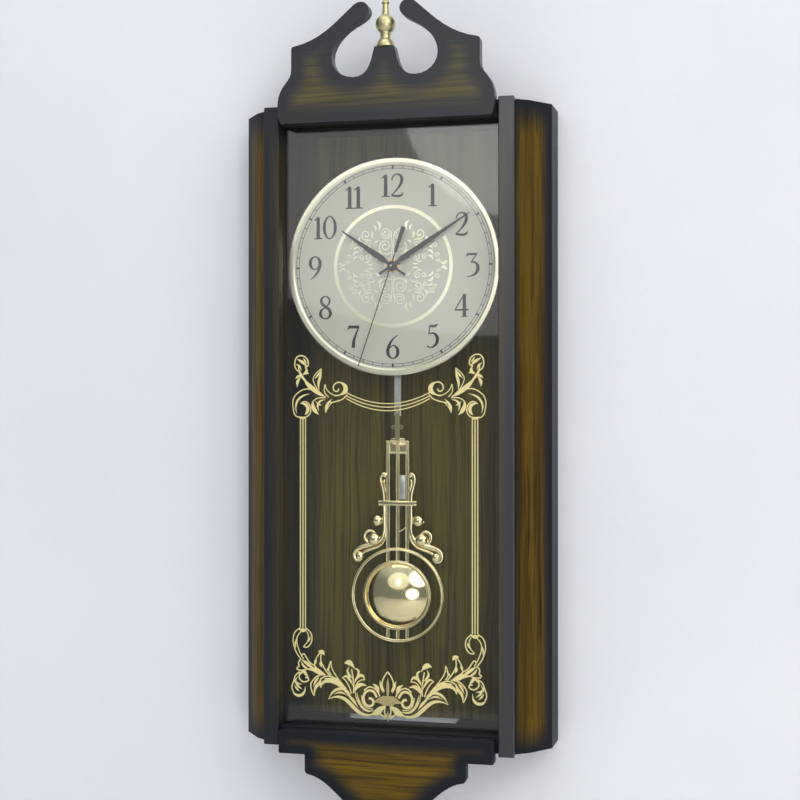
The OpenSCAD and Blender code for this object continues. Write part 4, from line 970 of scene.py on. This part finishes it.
def makePendulumFrame(shape):
    mesh = bmesh.new()
    front, back = shape["front"], shape["back"]
    half = shape["barWidth"] / 2
    for x in shape["bars"]:
        faces = addBar(mesh, x - half, x + half, shape["barLow"], shape["barHigh"], front, back)
        # the front is sunk to a channel
        faced = [face for face in faces if face.normal.y < -0.9]
        bmesh.ops.inset_individual(mesh, faces=faced, thickness=shape["groove"] * mm, depth=0.0)
        bmesh.ops.inset_individual(mesh, faces=faced, thickness=shape["grooveSlope"] * mm,
                                   depth=-shape["grooveDepth"] * mm)
    for left, right, low, high, behind in frameBlocks:
        addBar(mesh, left, right, low, high, front + behind, back)
    for x, z, radius, behind, flatness in frameBalls:
        for side in (-1, 1):
            addBall(mesh, side * x, front + behind, z, radius, flatness)
    rods = [[(x, z, w * shape["fullness"]) for x, z, w in rod] for rod in mirrored(frameTubes)]
    rods += [[(side * shape["collarHalf"], z, shape["collarWidth"]) for side in (-1, 1)]
             for z in shape["collarHeights"]]
    rods.append(shape["clip"])
    data = strokeMesh("rods", rods, 3)
    data.transform(Matrix.Translation((0, shape["rodY"] * mm, 0)))
    mesh.from_mesh(data)
    bpy.data.meshes.remove(data)
    easeEdges(mesh, shape["ease"] * mm, 2, sharpest=60, shortest=2.0 * mm)
    thing = meshObject("pendulum_frame", mesh, smooth=40)
    settle(thing, "pendulum", finishes["gilt_polished"], "gilt_polished", "pendulum_lyre")
    plate = bmesh.new()
    addBar(plate, *shape["plate"])
    easeEdges(plate, shape["plateEase"] * mm, 2)
    thing = meshObject("pendulum_plate", plate, smooth=40)
    settle(thing, "pendulum", finishes["steel"], "steel")


ringShape = dict(steps=128, profile=[
    (38.7, -27.6), (38.7, -28.6), (39.0, -29.15), (39.7, -29.4), (40.4, -29.25),
    (40.75, -28.8), (41.05, -29.0), (41.45, -28.9), (41.7, -28.5), (41.7, -27.6)])
bezelShape = dict(steps=128, profile=[
    (28.0, -27.6), (28.0, -29.8), (28.3, -30.4), (28.9, -30.6), (29.5, -30.4),
    (29.8, -29.8), (30.1, -29.6), (30.5, -29.7), (30.8, -29.3), (30.8, -27.6)])
domeShape = dict(steps=128, radius=28.0, rise=9.0, rimY=-28.6, backY=-28.3, rings=22)


def makeBob():
    low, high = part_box("pendulum_ring")
    centre = ((low.x + high.x) / 2, 0, (low.z + high.z) / 2)
    for name, shape, node in (("bob_ring", ringShape, "pendulum_ring"),
                              ("bob_collar", bezelShape, "bob_bezel")):
        mesh = bmesh.new()
        turned(mesh, shape["profile"], shape["steps"], centre, "Y", closed=True)
        thing = meshObject(name, mesh, smooth=50)
        settle(thing, "pendulum", finishes["gilt_polished"], "gilt_polished", node)
    reach, rise = domeShape["radius"], domeShape["rise"]
    sphere = (reach * reach + rise * rise) / (2 * rise)
    widest = math.asin(reach / sphere)
    profile = []
    for ring in range(domeShape["rings"] + 1):
        angle = widest * ring / domeShape["rings"]
        depth = domeShape["rimY"] - rise + sphere * (1 - math.cos(angle))
        profile.append((sphere * math.sin(angle), depth))
    profile += [(reach, domeShape["backY"]), (0, domeShape["backY"])]
    mesh = bmesh.new()
    turned(mesh, profile, domeShape["steps"], centre, "Y")
    thing = meshObject("bob_dome", mesh, smooth=40)
    settle(thing, "pendulum", finishes["gilt_polished"], "gilt_polished", "pendulum_bob")


print("pendulum")
makePendulumFrame(frameShape)
makeBob()


handShape = dict(ease=0.22 * mm, segments=2)


def makeHands(shape):
    for body in ("hour", "minute", "second"):
        easedPiece(body + "_hand", body, finishes["hand_black"], "hand_black", shape["ease"],
                   segments=shape["segments"])


print("hands")
makeHands(handShape)

print("finished")
